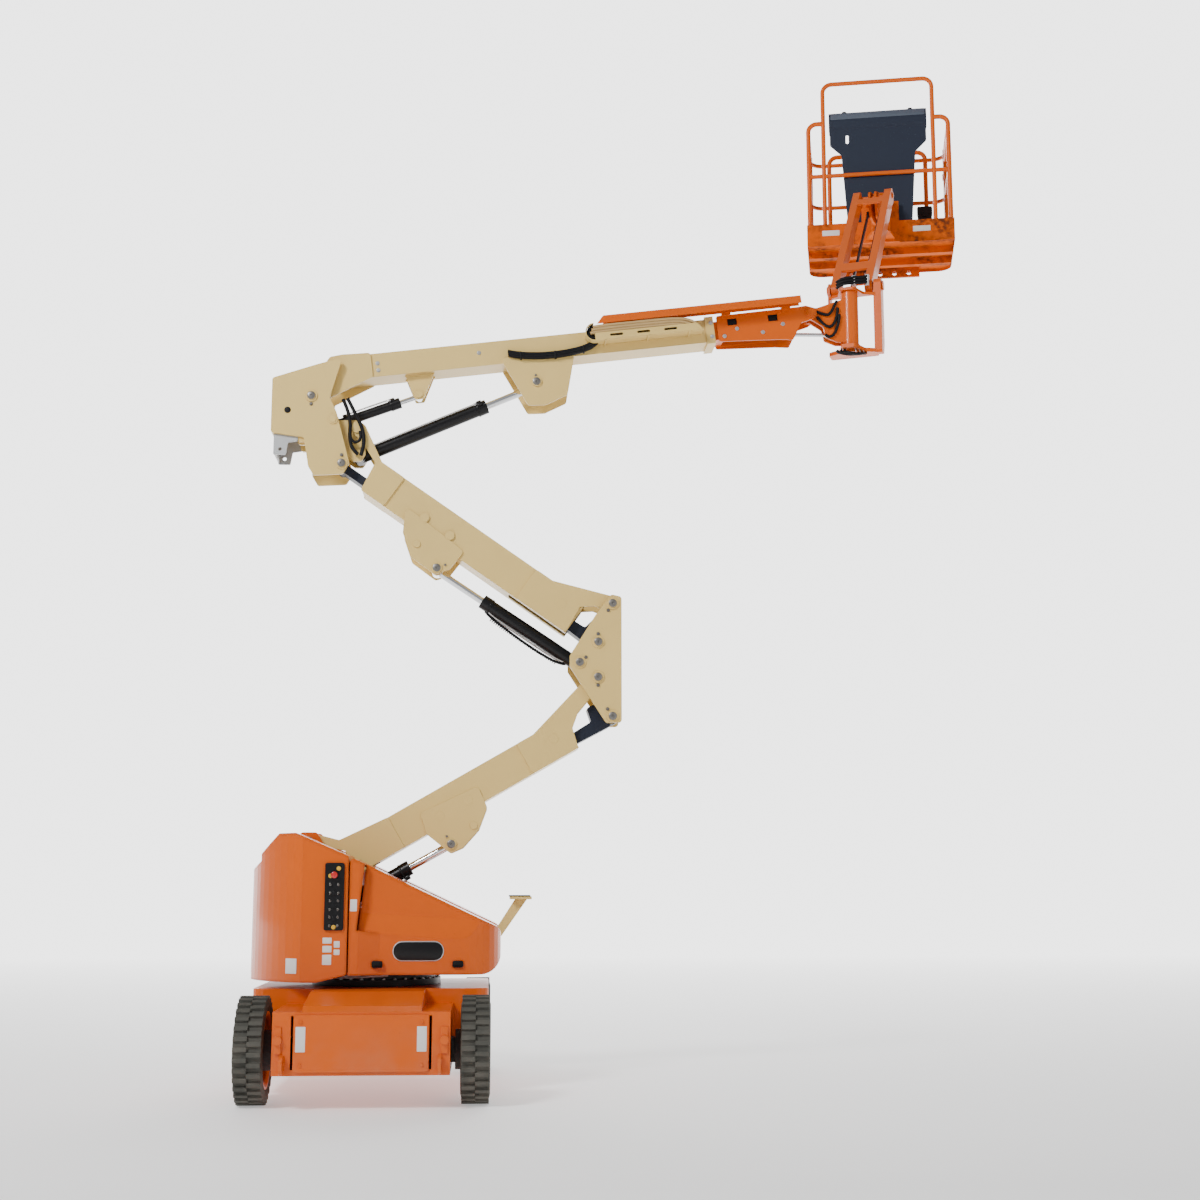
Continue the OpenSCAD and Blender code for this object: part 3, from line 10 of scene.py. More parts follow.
import json
import logging
import math
from dataclasses import dataclass
from enum import Enum
from typing import Iterable, Sequence

import bpy
from mathutils import Matrix, Vector

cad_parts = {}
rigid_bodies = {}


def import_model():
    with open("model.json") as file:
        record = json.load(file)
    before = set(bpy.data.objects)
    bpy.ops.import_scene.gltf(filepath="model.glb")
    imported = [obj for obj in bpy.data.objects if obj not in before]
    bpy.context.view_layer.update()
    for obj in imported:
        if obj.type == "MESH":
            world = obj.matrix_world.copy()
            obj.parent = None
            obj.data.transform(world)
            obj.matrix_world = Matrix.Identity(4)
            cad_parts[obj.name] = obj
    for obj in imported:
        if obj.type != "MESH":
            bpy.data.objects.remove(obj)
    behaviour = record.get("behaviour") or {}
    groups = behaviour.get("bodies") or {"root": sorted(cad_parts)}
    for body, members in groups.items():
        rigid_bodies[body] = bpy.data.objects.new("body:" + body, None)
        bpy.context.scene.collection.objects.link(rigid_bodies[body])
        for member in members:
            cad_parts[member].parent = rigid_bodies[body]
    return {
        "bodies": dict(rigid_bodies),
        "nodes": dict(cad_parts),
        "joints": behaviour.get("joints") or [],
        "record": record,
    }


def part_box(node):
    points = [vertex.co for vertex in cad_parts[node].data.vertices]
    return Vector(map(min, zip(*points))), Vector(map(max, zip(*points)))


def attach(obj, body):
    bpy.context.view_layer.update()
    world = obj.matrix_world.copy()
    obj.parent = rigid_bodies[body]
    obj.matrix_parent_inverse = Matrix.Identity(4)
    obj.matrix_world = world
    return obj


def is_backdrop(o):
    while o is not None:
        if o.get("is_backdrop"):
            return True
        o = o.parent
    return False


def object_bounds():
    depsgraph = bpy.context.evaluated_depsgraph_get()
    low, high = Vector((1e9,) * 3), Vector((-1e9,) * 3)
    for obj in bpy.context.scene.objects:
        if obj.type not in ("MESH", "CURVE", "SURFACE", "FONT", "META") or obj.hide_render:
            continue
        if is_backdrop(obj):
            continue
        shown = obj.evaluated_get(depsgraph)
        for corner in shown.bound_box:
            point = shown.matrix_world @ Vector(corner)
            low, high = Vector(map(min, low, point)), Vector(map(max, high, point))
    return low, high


LOG = logging.getLogger("boom_lift")
Spots = tuple[tuple[float, float], ...]


class Tint(Enum):
    """Base colours, as linear red, green and blue."""

    ORANGE = (0.66, 0.105, 0.0)
    ORANGE_WORN = (0.34, 0.055, 0.008)
    # Dark dirty orange, also used as painted shade on the platform's underside
    ORANGE_DIRT = (0.085, 0.024, 0.010)
    CREAM = (0.74, 0.53, 0.18)
    CREAM_WORN = (0.36, 0.25, 0.13)
    BLACK = (0.005, 0.005, 0.006)
    BLACK_WORN = (0.022, 0.022, 0.023)
    NAVY = (0.008, 0.012, 0.026)
    SLATE = (0.012, 0.018, 0.036)
    SLATE_PALE = (0.075, 0.095, 0.13)
    IRON = (0.035, 0.035, 0.037)
    PIN = (0.20, 0.19, 0.175)
    STEEL = (0.62, 0.62, 0.62)
    BARE = (0.46, 0.47, 0.48)
    CHROME = (0.80, 0.81, 0.83)
    TYRE = (0.052, 0.052, 0.043)
    TYRE_DUST = (0.17, 0.165, 0.135)
    RUBBER = (0.006, 0.006, 0.007)
    # Cream darkened to tan: painted shade for the hoses inside the boom's tray
    TAN = (0.50, 0.33, 0.14)
    DUST = (0.30, 0.26, 0.21)
    RED = (0.55, 0.012, 0.010)
    YELLOW = (0.72, 0.42, 0.02)
    BLANK = (0.72, 0.72, 0.70)
    FLOOR = (0.95, 0.95, 0.95)


class NodeSheet:
    """A shader node tree with short calls for adding and linking nodes."""

    def __init__(self, tree: bpy.types.NodeTree) -> None:
        """Take a tree to write on.

        Args:
            tree: the material's tree or a group's tree.
        """
        self.tree = tree

    def add(self, kind: str, **settings: object) -> bpy.types.Node:
        """Add a node and set its properties.

        Args:
            kind: the node's type, without the ShaderNode prefix.
            **settings: properties of the node by name.

        Returns:
            The new node.
        """
        node = self.tree.nodes.new(kind if kind.startswith("Node") else "ShaderNode" + kind)
        for key, value in settings.items():
            setattr(node, key, value)
        return node

    def feed(self, node: bpy.types.Node, **values: object) -> bpy.types.Node:
        """Set a node's inputs, from values or from other nodes' sockets.

        Args:
            node: the node to feed.
            **values: inputs by name, with underscores for spaces.

        Returns:
            The same node.
        """
        for key, value in values.items():
            socket = node.inputs[key.replace("_", " ")]
            if isinstance(value, bpy.types.NodeSocket):
                self.tree.links.new(value, socket)
            else:
                socket.default_value = value
        return node

    def math(self, operation: str, first: object, second: object = 0.0) -> bpy.types.NodeSocket:
        """Add a math node.

        Args:
            operation: the node's operation.
            first: number or socket.
            second: number or socket.

        Returns:
            The result's socket.
        """
        node = self.add("Math", operation=operation)
        for socket, value in zip(node.inputs, (first, second)):
            if isinstance(value, bpy.types.NodeSocket):
                self.tree.links.new(value, socket)
            else:
                socket.default_value = value
        return node.outputs[0]

    def noise(self, where: bpy.types.NodeSocket, scale: object,
              detail: float = 3.0) -> bpy.types.NodeSocket:
        """Add a noise texture and return its value socket."""
        node = self.add("TexNoise")
        return self.feed(node, Vector=where, Scale=scale, Detail=detail).outputs[0]

    def ramp(self, value: bpy.types.NodeSocket, low: object, high: object) -> bpy.types.NodeSocket:
        """Stretch a value so that low becomes 0 and high becomes 1, and clamp it."""
        node = self.add("MapRange", clamp=True)
        return self.feed(node, Value=value, From_Min=low, From_Max=high).outputs[0]

    def mix(self, share: object, first: object, second: object) -> bpy.types.NodeSocket:
        """Mix two colours by a share and return the colour socket.

        Args:
            share: share of the second colour.
            first: the first colour.
            second: the second colour.

        Returns:
            The mixed colour.
        """
        node = self.add("Mix", data_type="RGBA")
        for index, value in ((0, share), (6, first), (7, second)):
            if isinstance(value, bpy.types.NodeSocket):
                self.tree.links.new(value, node.inputs[index])
            else:
                node.inputs[index].default_value = value
        return node.outputs[2]


class Effect(Enum):
    """Shared surface effects, each one shader node group."""

    WEATHER = "weather"
    EDGE_WEAR = "edge_wear"
    PEEL = "peel"
    LOW_DUST = "low_dust"
    GRIME = "grime_and_shade"

    def group(self) -> bpy.types.NodeTree:
        """Return the effect's node group, built at its first use."""
        found = bpy.data.node_groups.get(self.value)
        return found or EffectBuilder(self).build()


class EffectBuilder:
    """Builds the node group of one effect."""

    SOCKETS = {
        Effect.WEATHER: ({"Vector": "Vector", "Scale": "Float", "Amount": "Float"},
                         {"Tone": "Float", "Specks": "Float"}),
        Effect.EDGE_WEAR: ({"Vector": "Vector", "Radius": "Float", "Amount": "Float"},
                           {"Mask": "Float", "Normal": "Vector"}),
        Effect.PEEL: ({"Vector": "Vector", "Scale": "Float"}, {"Height": "Float"}),
        Effect.LOW_DUST: ({"Vector": "Vector", "Top": "Float", "Amount": "Float"}, {"Mask": "Float"}),
        Effect.GRIME: ({"Vector": "Vector", "Amount": "Float"}, {"Mask": "Float"}),
    }

    def __init__(self, effect: Effect) -> None:
        """Take the effect to build.

        Args:
            effect: the effect to build.
        """
        self.effect = effect
        self.tree = bpy.data.node_groups.new(effect.value, "ShaderNodeTree")
        self.sheet = NodeSheet(self.tree)

    def build(self) -> bpy.types.NodeTree:
        """Make the sockets and the nodes.

        Returns:
            The finished group.
        """
        takes, gives = self.SOCKETS[self.effect]
        for names, side in ((takes, "INPUT"), (gives, "OUTPUT")):
            for name, kind in names.items():
                self.tree.interface.new_socket(name=name, in_out=side, socket_type="NodeSocket" + kind)
        source = self.sheet.add("NodeGroupInput").outputs
        sink = self.sheet.add("NodeGroupOutput")
        results = getattr(self, self.effect.value)(source)
        for name, socket in results.items():
            self.tree.links.new(socket, sink.inputs[name])
        return self.tree

    def weather(self, source: bpy.types.bpy_prop_collection) -> dict[str, bpy.types.NodeSocket]:
        """Slow change of tone and small specks.

        Args:
            source: the group's inputs.

        Returns:
            The group's outputs by name.
        """
        sheet = self.sheet
        slow = sheet.ramp(sheet.noise(source["Vector"], source["Scale"], 5.0), 0.35, 0.68)
        fine = sheet.noise(source["Vector"], sheet.math("MULTIPLY", source["Scale"], 34.0), 2.0)
        specks = sheet.math("MULTIPLY", sheet.ramp(fine, 0.66, 0.74), slow)
        return {"Tone": sheet.math("MULTIPLY", slow, source["Amount"]),
                "Specks": sheet.math("MULTIPLY", specks, source["Amount"])}

    def edge_wear(self, source: bpy.types.bpy_prop_collection) -> dict[str, bpy.types.NodeSocket]:
        """Soft edges, and a broken line of wear along them.

        Args:
            source: the group's inputs.

        Returns:
            The group's outputs by name.
        """
        sheet = self.sheet
        soft = sheet.feed(sheet.add("Bevel", samples=4), Radius=source["Radius"]).outputs[0]
        dot = sheet.add("VectorMath", operation="DOT_PRODUCT")
        self.tree.links.new(soft, dot.inputs[0])
        self.tree.links.new(sheet.add("NewGeometry").outputs["Normal"], dot.inputs[1])
        edge = sheet.ramp(dot.outputs["Value"], 0.985, 0.80)
        broken = sheet.ramp(sheet.noise(source["Vector"], 9.0, 6.0), 0.50, 0.66)
        return {"Mask": sheet.math("MULTIPLY", sheet.math("MULTIPLY", edge, broken), source["Amount"]),
                "Normal": soft}

    def peel(self, source: bpy.types.bpy_prop_collection) -> dict[str, bpy.types.NodeSocket]:
        """Fine waviness of sprayed paint or of a moulded face.

        Args:
            source: the group's inputs.

        Returns:
            The group's outputs by name.
        """
        sheet = self.sheet
        fine = sheet.noise(source["Vector"], source["Scale"], 1.0)
        broad = sheet.noise(source["Vector"], 3.0, 1.0)
        return {"Height": sheet.math("ADD", sheet.math("MULTIPLY", fine, 0.4), broad)}

    def low_dust(self, source: bpy.types.bpy_prop_collection) -> dict[str, bpy.types.NodeSocket]:
        """Dust that thins out from the floor up to a height.

        Args:
            source: the group's inputs.

        Returns:
            The group's outputs by name.
        """
        sheet = self.sheet
        split = sheet.feed(sheet.add("SeparateXYZ"), Vector=source["Vector"])
        low = sheet.ramp(split.outputs["Z"], source["Top"], 0.0)
        patchy = sheet.ramp(sheet.noise(source["Vector"], 7.0, 6.0), 0.36, 0.70)
        return {"Mask": sheet.math("MULTIPLY", sheet.math("MULTIPLY", low, patchy), source["Amount"])}

    def grime_and_shade(self, source: bpy.types.bpy_prop_collection) -> dict[str, bpy.types.NodeSocket]:
        """Dark patches, broad ones broken up by finer ones: dirt, and painted shade on the platform's
        underside.

        Args:
            source: the group's inputs.

        Returns:
            The group's outputs by name.
        """
        sheet = self.sheet
        broad = sheet.ramp(sheet.noise(source["Vector"], 4.5, 8.0), 0.44, 0.62)
        fine = sheet.ramp(sheet.noise(source["Vector"], 26.0, 4.0), 0.30, 0.62)
        return {"Mask": sheet.math("MULTIPLY", sheet.math("MULTIPLY", broad, fine), source["Amount"])}


def opaque(tint: Tint) -> tuple[float, float, float, float]:
    """Return a tint with full alpha."""
    return (*tint.value, 1.0)


@dataclass(frozen=True)
class Finish:
    """One surface finish, which makes its material once.

    Attributes:
        name: the material's name.
        slot: the record's slot that its pieces follow.
        tint: the main colour.
        worn: the colour of worn edges and specks.
        rough: roughness of the clean surface.
        metal: metalness.
        coat: weight of a clear coat.
        wear: strength of edge wear.
        edge: radius of the softened edges, in metres.
        bump: strength of the fine bump.
        grain: scale of the fine bump.
        mottle: strength of the slow change of tone.
        dust_top: height up to which dust lies, or 0.
        gloss: strength of the mirror-like reflection.
        grime_and_shade: share of dark patches, partly dirt and partly painted shade.
    """

    name: str
    slot: str
    tint: Tint
    worn: Tint
    rough: float
    metal: float = 0.0
    coat: float = 0.0
    wear: float = 0.5
    edge: float = 0.004
    bump: float = 0.06
    grain: float = 260.0
    mottle: float = 0.35
    dust_top: float = 0.0
    gloss: float = 0.5
    grime_and_shade: float = 0.0

    def material(self) -> bpy.types.Material:
        """Return the finish's material, built at its first use.

        Returns:
            The material.
        """
        found = bpy.data.materials.get(self.name)
        if found:
            return found
        made = bpy.data.materials.new(self.name)
        made.use_nodes = True
        made.node_tree.nodes.clear()
        self.draw(NodeSheet(made.node_tree))
        made.diffuse_color = opaque(self.tint)
        return made

    def effect(self, sheet: NodeSheet, effect: Effect, **values: object) -> bpy.types.bpy_prop_collection:
        """Place an effect's group on a sheet.

        Args:
            sheet: the material's sheet.
            effect: the effect to place.
            **values: its inputs.

        Returns:
            The group node's outputs.
        """
        node = sheet.add("Group", node_tree=effect.group())
        return sheet.feed(node, **values).outputs

    def draw(self, sheet: NodeSheet) -> None:
        """Write the material's nodes.

        Args:
            sheet: the material's empty sheet.
        """
        where = sheet.add("TexCoord").outputs["Object"]
        weather = self.effect(sheet, Effect.WEATHER, Vector=where, Scale=2.3, Amount=self.mottle)
        edges = self.effect(sheet, Effect.EDGE_WEAR, Vector=where, Radius=self.edge, Amount=self.wear)
        peel = self.effect(sheet, Effect.PEEL, Vector=where, Scale=self.grain)
        shade = tuple(0.72 * part for part in self.tint.value) + (1.0,)
        colour = sheet.mix(sheet.math("MULTIPLY", weather["Tone"], 0.5), opaque(self.tint), shade)
        colour = sheet.mix(weather["Specks"], colour, opaque(self.worn))
        colour = sheet.mix(edges["Mask"], colour, opaque(self.worn))
        rough = sheet.math("ADD", sheet.math("MULTIPLY", weather["Tone"], 0.16), self.rough)
        if self.dust_top:
            dust = self.effect(sheet, Effect.LOW_DUST, Vector=where, Top=self.dust_top, Amount=0.28)["Mask"]
            colour = sheet.mix(dust, colour, opaque(Tint.DUST))
            rough = sheet.math("ADD", rough, sheet.math("MULTIPLY", dust, 0.3))
        # Dark patches in the dirty orange: real dirt, and painted shade on the platform's underside
        if self.grime_and_shade:
            dirt_and_shade = self.effect(sheet, Effect.GRIME, Vector=where, Amount=self.grime_and_shade)["Mask"]
            colour = sheet.mix(dirt_and_shade, colour, opaque(Tint.ORANGE_DIRT))
        bump = sheet.feed(sheet.add("Bump"), Strength=self.bump, Distance=0.002, Height=peel["Height"],
                          Normal=edges["Normal"])
        shader = sheet.feed(sheet.add("BsdfPrincipled"), Base_Color=colour, Roughness=rough,
                            Metallic=self.metal, Coat_Weight=self.coat, Coat_Roughness=0.06,
                            Specular_IOR_Level=self.gloss, Normal=bump.outputs[0])
        sheet.feed(sheet.add("OutputMaterial"), Surface=shader.outputs[0])


ORANGE = Finish("orange_paint", "orange", Tint.ORANGE, Tint.ORANGE_WORN, 0.34, coat=0.15, dust_top=0.5,
                gloss=0.25)
HOOD = Finish("orange_hood", "hood", Tint.ORANGE, Tint.ORANGE_WORN, 0.30, coat=0.35, wear=0.15,
              edge=0.024, grain=120.0, gloss=0.2)
# The cage's dark patches and dark worn edges are dirt and also painted shade on the platform's underside
CAGE = Finish("orange_cage", "orange", Tint.ORANGE, Tint.ORANGE_DIRT, 0.60, wear=0.7, gloss=0.1,
              grime_and_shade=0.95)
CREAM = Finish("cream_paint", "cream", Tint.CREAM, Tint.CREAM_WORN, 0.36, coat=0.15, wear=0.5,
               gloss=0.3)
BLACK = Finish("gloss_black_paint", "black_paint", Tint.BLACK, Tint.BLACK_WORN, 0.30, wear=0.3,
               gloss=0.3)
NAVY = Finish("navy_link_paint", "link_paint", Tint.NAVY, Tint.BLACK_WORN, 0.42, wear=0.4, gloss=0.35)
SLATE = Finish("slate_moulding", "slate", Tint.SLATE, Tint.SLATE_PALE, 0.5, wear=0.3, bump=0.25,
               grain=420.0, gloss=0.3)
SLATE_PALE = Finish("slate_panel", "slate", Tint.SLATE_PALE, Tint.SLATE, 0.45, wear=0.3, bump=0.2,
                    grain=420.0)
IRON = Finish("cast_iron", "iron", Tint.IRON, Tint.DUST, 0.62, metal=0.25, wear=0.4, bump=0.3,
              grain=160.0, dust_top=0.6)
PIN = Finish("pin_steel", "iron", Tint.PIN, Tint.IRON, 0.38, metal=0.7, wear=0.3, edge=0.0015)
BARE = Finish("bare_bracket", "bare_grey", Tint.BARE, Tint.IRON, 0.42, metal=0.4, wear=0.5)
STEEL = Finish("plated_steel", "chrome", Tint.STEEL, Tint.IRON, 0.34, metal=0.95, wear=0.2, edge=0.0015)
CHROME = Finish("chromed_rod", "chrome", Tint.CHROME, Tint.STEEL, 0.10, metal=1.0, wear=0.0, bump=0.01,
                mottle=0.15)
TYRE = Finish("solid_tyre", "tyre", Tint.TYRE, Tint.TYRE_DUST, 0.78, wear=0.9, edge=0.006, bump=0.4,
              grain=180.0, mottle=0.6, dust_top=0.70)
RUBBER = Finish("black_rubber", "black_paint", Tint.RUBBER, Tint.BLACK_WORN, 0.55, wear=0.2, bump=0.12,
                grain=300.0, gloss=0.2)
# Painted shade: the tray's hoses in cream darkened to tan, on the cream slot
TAN = Finish("shaded_cream_hose", "cream", Tint.TAN, Tint.CREAM_WORN, 0.5, wear=0.2, bump=0.1, grain=300.0,
             gloss=0.3)
RED = Finish("red_button", "orange", Tint.RED, Tint.BLACK, 0.30, coat=0.4, wear=0.1, edge=0.001)
YELLOW = Finish("yellow_ring", "orange", Tint.YELLOW, Tint.BLACK_WORN, 0.40, wear=0.2, edge=0.001)
BLANK = Finish("blank_plate", "hood", Tint.BLANK, Tint.DUST, 0.42, wear=0.3, edge=0.0008, mottle=0.4)

SLOT_FINISH = {finish.slot: finish for finish in (ORANGE, CREAM, BLACK, SLATE, NAVY, CHROME, TYRE, IRON,
                                                  HOOD, BARE)}
NODE_FINISH = {"platform_floor": CAGE, "platform_mount": CAGE}


class Rig:
    """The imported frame, with short calls for where things lie."""

    def __init__(self) -> None:
        """Load the frame and keep its box."""
        self.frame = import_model()
        self.cad_box = [list(corner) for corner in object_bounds()]
        self.record = self.frame["record"]
        self.joints = {joint["name"]: joint for joint in self.record["behaviour"]["joints"]}
        bpy.ops.object.select_all(action="DESELECT")

    def pivot(self, joint: str) -> Vector:
        """Return a joint's point at rest."""
        return Vector(self.joints[joint]["pos_m"])

    def axis(self, joint: str) -> Vector:
        """Return a joint's axis at rest."""
        return Vector(self.joints[joint]["axis"])

    def low(self, node: str) -> Vector:
        """Return the lowest corner of a node."""
        return Vector(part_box(node)[0])

    def high(self, node: str) -> Vector:
        """Return the highest corner of a node."""
        return Vector(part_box(node)[1])

    def paint(self) -> None:
        """Give every solid the finish of its slot."""
        slots = {part["node"]: part["material_slot"] for part in self.record["subparts"]}
        for node, solid in self.frame["nodes"].items():
            solid.data.materials.clear()
            finish = NODE_FINISH.get(node, SLOT_FINISH[slots[node]])
            solid.data.materials.append(finish.material())

    def write_sizes(self) -> None:
        """Update the view layer."""
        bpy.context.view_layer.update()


@dataclass
class Studio:
    """Plain pale floor, soft light and the camera.

    Attributes:
        eye: place of the camera.
        pitch: angle of the view above level, in degrees.
        yaw: turn of the view to the right, in degrees.
        lens: focal length for a 36 mm sensor, in millimetres.
        floor: side of the floor.
        room: strength of the light from all round.
        wall: strength of the bright wall behind the machine.
        wall_from: where the wall starts, as a part of a direction towards +Y.
        wall_to: where the wall is fully bright.
        sweep: where the floor starts to run into the wall along Y, and where it has done so.
    """

    eye: tuple[float, float, float] = (0.72, -11.66, 1.29)
    pitch: float = 9.4
    yaw: float = 3.7
    lens: float = 51.6
    floor: float = 90.0
    room: float = 0.40
    wall: float = 3.4
    wall_from: float = 0.62
    wall_to: float = 0.80
    sweep: tuple[float, float] = (-4.0, 20.0)

    def build(self) -> None:
        """Set up floor, light and camera."""
        self.add_floor()
        self.add_light("key", (-7.0, -10.0, 11.0), 3.0, 1800.0)
        self.add_light("fill", (9.0, -8.0, 5.0), 6.0, 200.0)
        self.add_light("back", (2.0, 9.0, 9.0), 6.0, 450.0)
        self.add_room()
        self.add_camera()

    def add_room(self) -> None:
        """Light the room softly from all round, with a bright wall behind the machine."""
        world = bpy.data.worlds.new("pale_room")
        bpy.context.scene.world = world
        world.use_nodes = True
        sheet = NodeSheet(world.node_tree)
        split = sheet.feed(sheet.add("SeparateXYZ"), Vector=sheet.add("TexCoord").outputs["Generated"])
        wall = sheet.ramp(split.outputs["Y"], self.wall_from, self.wall_to)
        strength = sheet.math("ADD", sheet.math("MULTIPLY", wall, self.wall - self.room), self.room)
        sheet.feed(world.node_tree.nodes["Background"], Color=(1.0, 1.0, 1.0, 1.0), Strength=strength)

    def add_floor(self) -> None:
        """Add the floor."""
        bpy.ops.mesh.primitive_plane_add(size=self.floor, location=(0.0, 0.0, 0.0))
        floor = bpy.context.object
        floor.name = "studio_floor"
        made = bpy.data.materials.new("studio_floor")
        made.use_nodes = True
        made.node_tree.nodes.clear()
        sheet = NodeSheet(made.node_tree)
        split = sheet.feed(sheet.add("SeparateXYZ"), Vector=sheet.add("TexCoord").outputs["Object"])
        far = sheet.ramp(split.outputs["Y"], *self.sweep)
        plain = sheet.feed(sheet.add("BsdfPrincipled"), Base_Color=opaque(Tint.FLOOR), Roughness=0.8)
        glow = sheet.feed(sheet.add("Emission"), Color=(1.0, 1.0, 1.0, 1.0), Strength=self.wall)
        mixed = sheet.add("MixShader")
        for socket, value in zip(mixed.inputs, (far, plain.outputs[0], glow.outputs[0])):
            made.node_tree.links.new(value, socket)
        sheet.feed(sheet.add("OutputMaterial"), Surface=mixed.outputs[0])
        floor.data.materials.append(made)
        floor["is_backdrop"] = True

    def add_light(self, name: str, place: Sequence[float], size: float, power: float) -> None:
        """Add a soft area light that looks at the machine's middle.

        Args:
            name: the light's name.
            place: where it hangs.
            size: its side.
            power: its power in watts.
        """
        bpy.ops.object.light_add(type="AREA", location=place)
        light = bpy.context.object
        light.name = name
        light.data.size = size
        light.data.energy = power
        aim = Vector((1.0, 0.0, 3.0)) - Vector(place)
        light.rotation_euler = aim.to_track_quat("-Z", "Y").to_euler()

    def add_camera(self) -> None:
        """Add the camera at the photograph's place."""
        turn = (math.radians(90.0 + self.pitch), 0.0, math.radians(-self.yaw))
        bpy.ops.object.camera_add(location=self.eye, rotation=turn)
        camera = bpy.context.object
        camera.data.lens = self.lens
        camera.data.sensor_width = 36.0
        camera.data.clip_end = 200.0
        bpy.context.scene.camera = camera


class Bench:
    """Modelling with operators: starts a piece, shapes it in edit mode and hands it over."""

    def fresh(self, name: str) -> bpy.types.Object:
        """Name the primitive that was just added and return it.

        Args:
            name: the piece's name.

        Returns:
            The piece.
        """
        made = bpy.context.object
        made.name = name
        made.data.name = name
        return made

    def clear(self) -> None:
        """Leave edit mode and deselect everything."""
        if bpy.context.object and bpy.context.object.mode != "OBJECT":
            bpy.ops.object.mode_set(mode="OBJECT")
        bpy.ops.object.select_all(action="DESELECT")

    def settle(self, piece: bpy.types.Object, matrix: Matrix | None = None) -> bpy.types.Object:
        """Put a piece in its place and apply that place to its mesh.

        Args:
            piece: the piece.
            matrix: world placement to apply, or None for what it has.

        Returns:
            The same piece, at the origin.
        """
        self.clear()
        piece.select_set(True)
        bpy.context.view_layer.objects.active = piece
        if matrix is not None:
            piece.matrix_world = matrix @ piece.matrix_world
        bpy.ops.object.transform_apply(location=True, rotation=True, scale=True)
        return piece

    def soften(self, piece: bpy.types.Object, width: float, steps: int = 2,
               angle: float = 35.0) -> bpy.types.Object:
        """Bevel the sharp edges and shade the piece smooth.

        Args:
            piece: the piece to bevel.
            width: width of the bevel.
            steps: segments of the bevel.
            angle: sharpest angle that stays, in degrees.

        Returns:
            The same piece.
        """
        self.clear()
        piece.select_set(True)
        bpy.context.view_layer.objects.active = piece
        bevel = piece.modifiers.new("edges", "BEVEL")
        bevel.width = width
        bevel.segments = steps
        bevel.limit_method = "ANGLE"
        bevel.angle_limit = math.radians(angle)
        bpy.ops.object.modifier_apply(modifier=bevel.name)
        bpy.ops.object.shade_smooth_by_angle(angle=math.radians(40.0))
        return piece

    def box(self, name: str, low: Sequence[float], high: Sequence[float],
            edge: float = 0.003) -> bpy.types.Object:
        """Model a block with softened edges between two corners.

        Args:
            name: the piece's name.
            low: its lowest corner.
            high: its highest corner.
            edge: width of its rounded edges.

        Returns:
            The piece.
        """
        self.clear()
        low, high = Vector(low), Vector(high)
        bpy.ops.mesh.primitive_cube_add(size=1.0, location=(low + high) / 2, scale=high - low)
        return self.soften(self.settle(self.fresh(name)), edge)

    def rod(self, name: str, start: Sequence[float], end: Sequence[float], radius: float,
            edge: float = 0.0015,
            sides: int = 32) -> bpy.types.Object:
        """Model a round or many-sided bar between two points, with softened ends.

        Args:
            name: the piece's name.
            start: where it starts.
            end: where it ends.
            radius: its radius.
            edge: width of its rounded edges.
            sides: number of its sides.

        Returns:
            The piece.
        """
        self.clear()
        start, end = Vector(start), Vector(end)
        along = end - start
        bpy.ops.mesh.primitive_cylinder_add(vertices=sides, radius=radius, depth=along.length,
                                            location=(start + end) / 2,
                                            rotation=along.to_track_quat("Z", "Y").to_euler())
        return self.soften(self.settle(self.fresh(name)), edge)

    def sheet(self, name: str, outline: Sequence[tuple[float, float]], thick: float,
              edge: float = 0.0015) -> bpy.types.Object:
        """Model a plate from an outline in X and Z, thick towards -Y from y = 0.

        Args:
            name: the piece's name.
            outline: corners in X and Z.
            thick: the plate's thickness.
            edge: width of its softened edges.

        Returns:
            The plate.
        """
        self.clear()
        bpy.ops.mesh.primitive_circle_add(vertices=len(outline), fill_type="NGON")
        made = self.fresh(name)
        for vertex, (x, z) in zip(made.data.vertices, outline):
            vertex.co = (x, 0.0, z)
        bpy.ops.object.mode_set(mode="EDIT")
        bpy.ops.mesh.select_all(action="SELECT")
        bpy.ops.mesh.extrude_region_move(TRANSFORM_OT_translate={"value": (0.0, -thick, 0.0)})
        bpy.ops.mesh.select_all(action="SELECT")
        bpy.ops.mesh.normals_make_consistent(inside=False)
        bpy.ops.object.mode_set(mode="OBJECT")
        return self.soften(made, edge)

    def tube(self, name: str, points: Sequence[Sequence[float]], radius: float,
             sides: int = 5) -> bpy.types.Object:
        """Model a hose or bent tube along points, closed at its ends.

        Args:
            name: the piece's name.
            points: places that the tube passes near, as a smooth path.
            radius: its radius.
            sides: a quarter of its sides, less one.

        Returns:
            The tube as a mesh.
        """
        self.clear()
        bpy.ops.curve.primitive_nurbs_path_add()
        made = bpy.context.object
        spline = made.data.splines[0]
        spline.points.add(max(0, len(points) - len(spline.points)))
        for knot, point in zip(spline.points, points):
            knot.co = (*point, 1.0)
        spline.use_endpoint_u = True
        spline.order_u = 4
        made.data.resolution_u = 10
        made.data.bevel_depth = radius
        made.data.bevel_resolution = sides
        made.data.use_fill_caps = True
        made.location = (0.0, 0.0, 0.0)
        bpy.ops.object.convert(target="MESH")
        made = self.fresh(name)
        bpy.ops.object.mode_set(mode="EDIT")
        bpy.ops.mesh.select_all(action="SELECT")
        bpy.ops.mesh.remove_doubles(threshold=0.00005)
        bpy.ops.mesh.normals_make_consistent(inside=False)
        bpy.ops.object.mode_set(mode="OBJECT")
        bpy.ops.object.shade_smooth_by_angle(angle=math.radians(50.0))
        return self.settle(made)

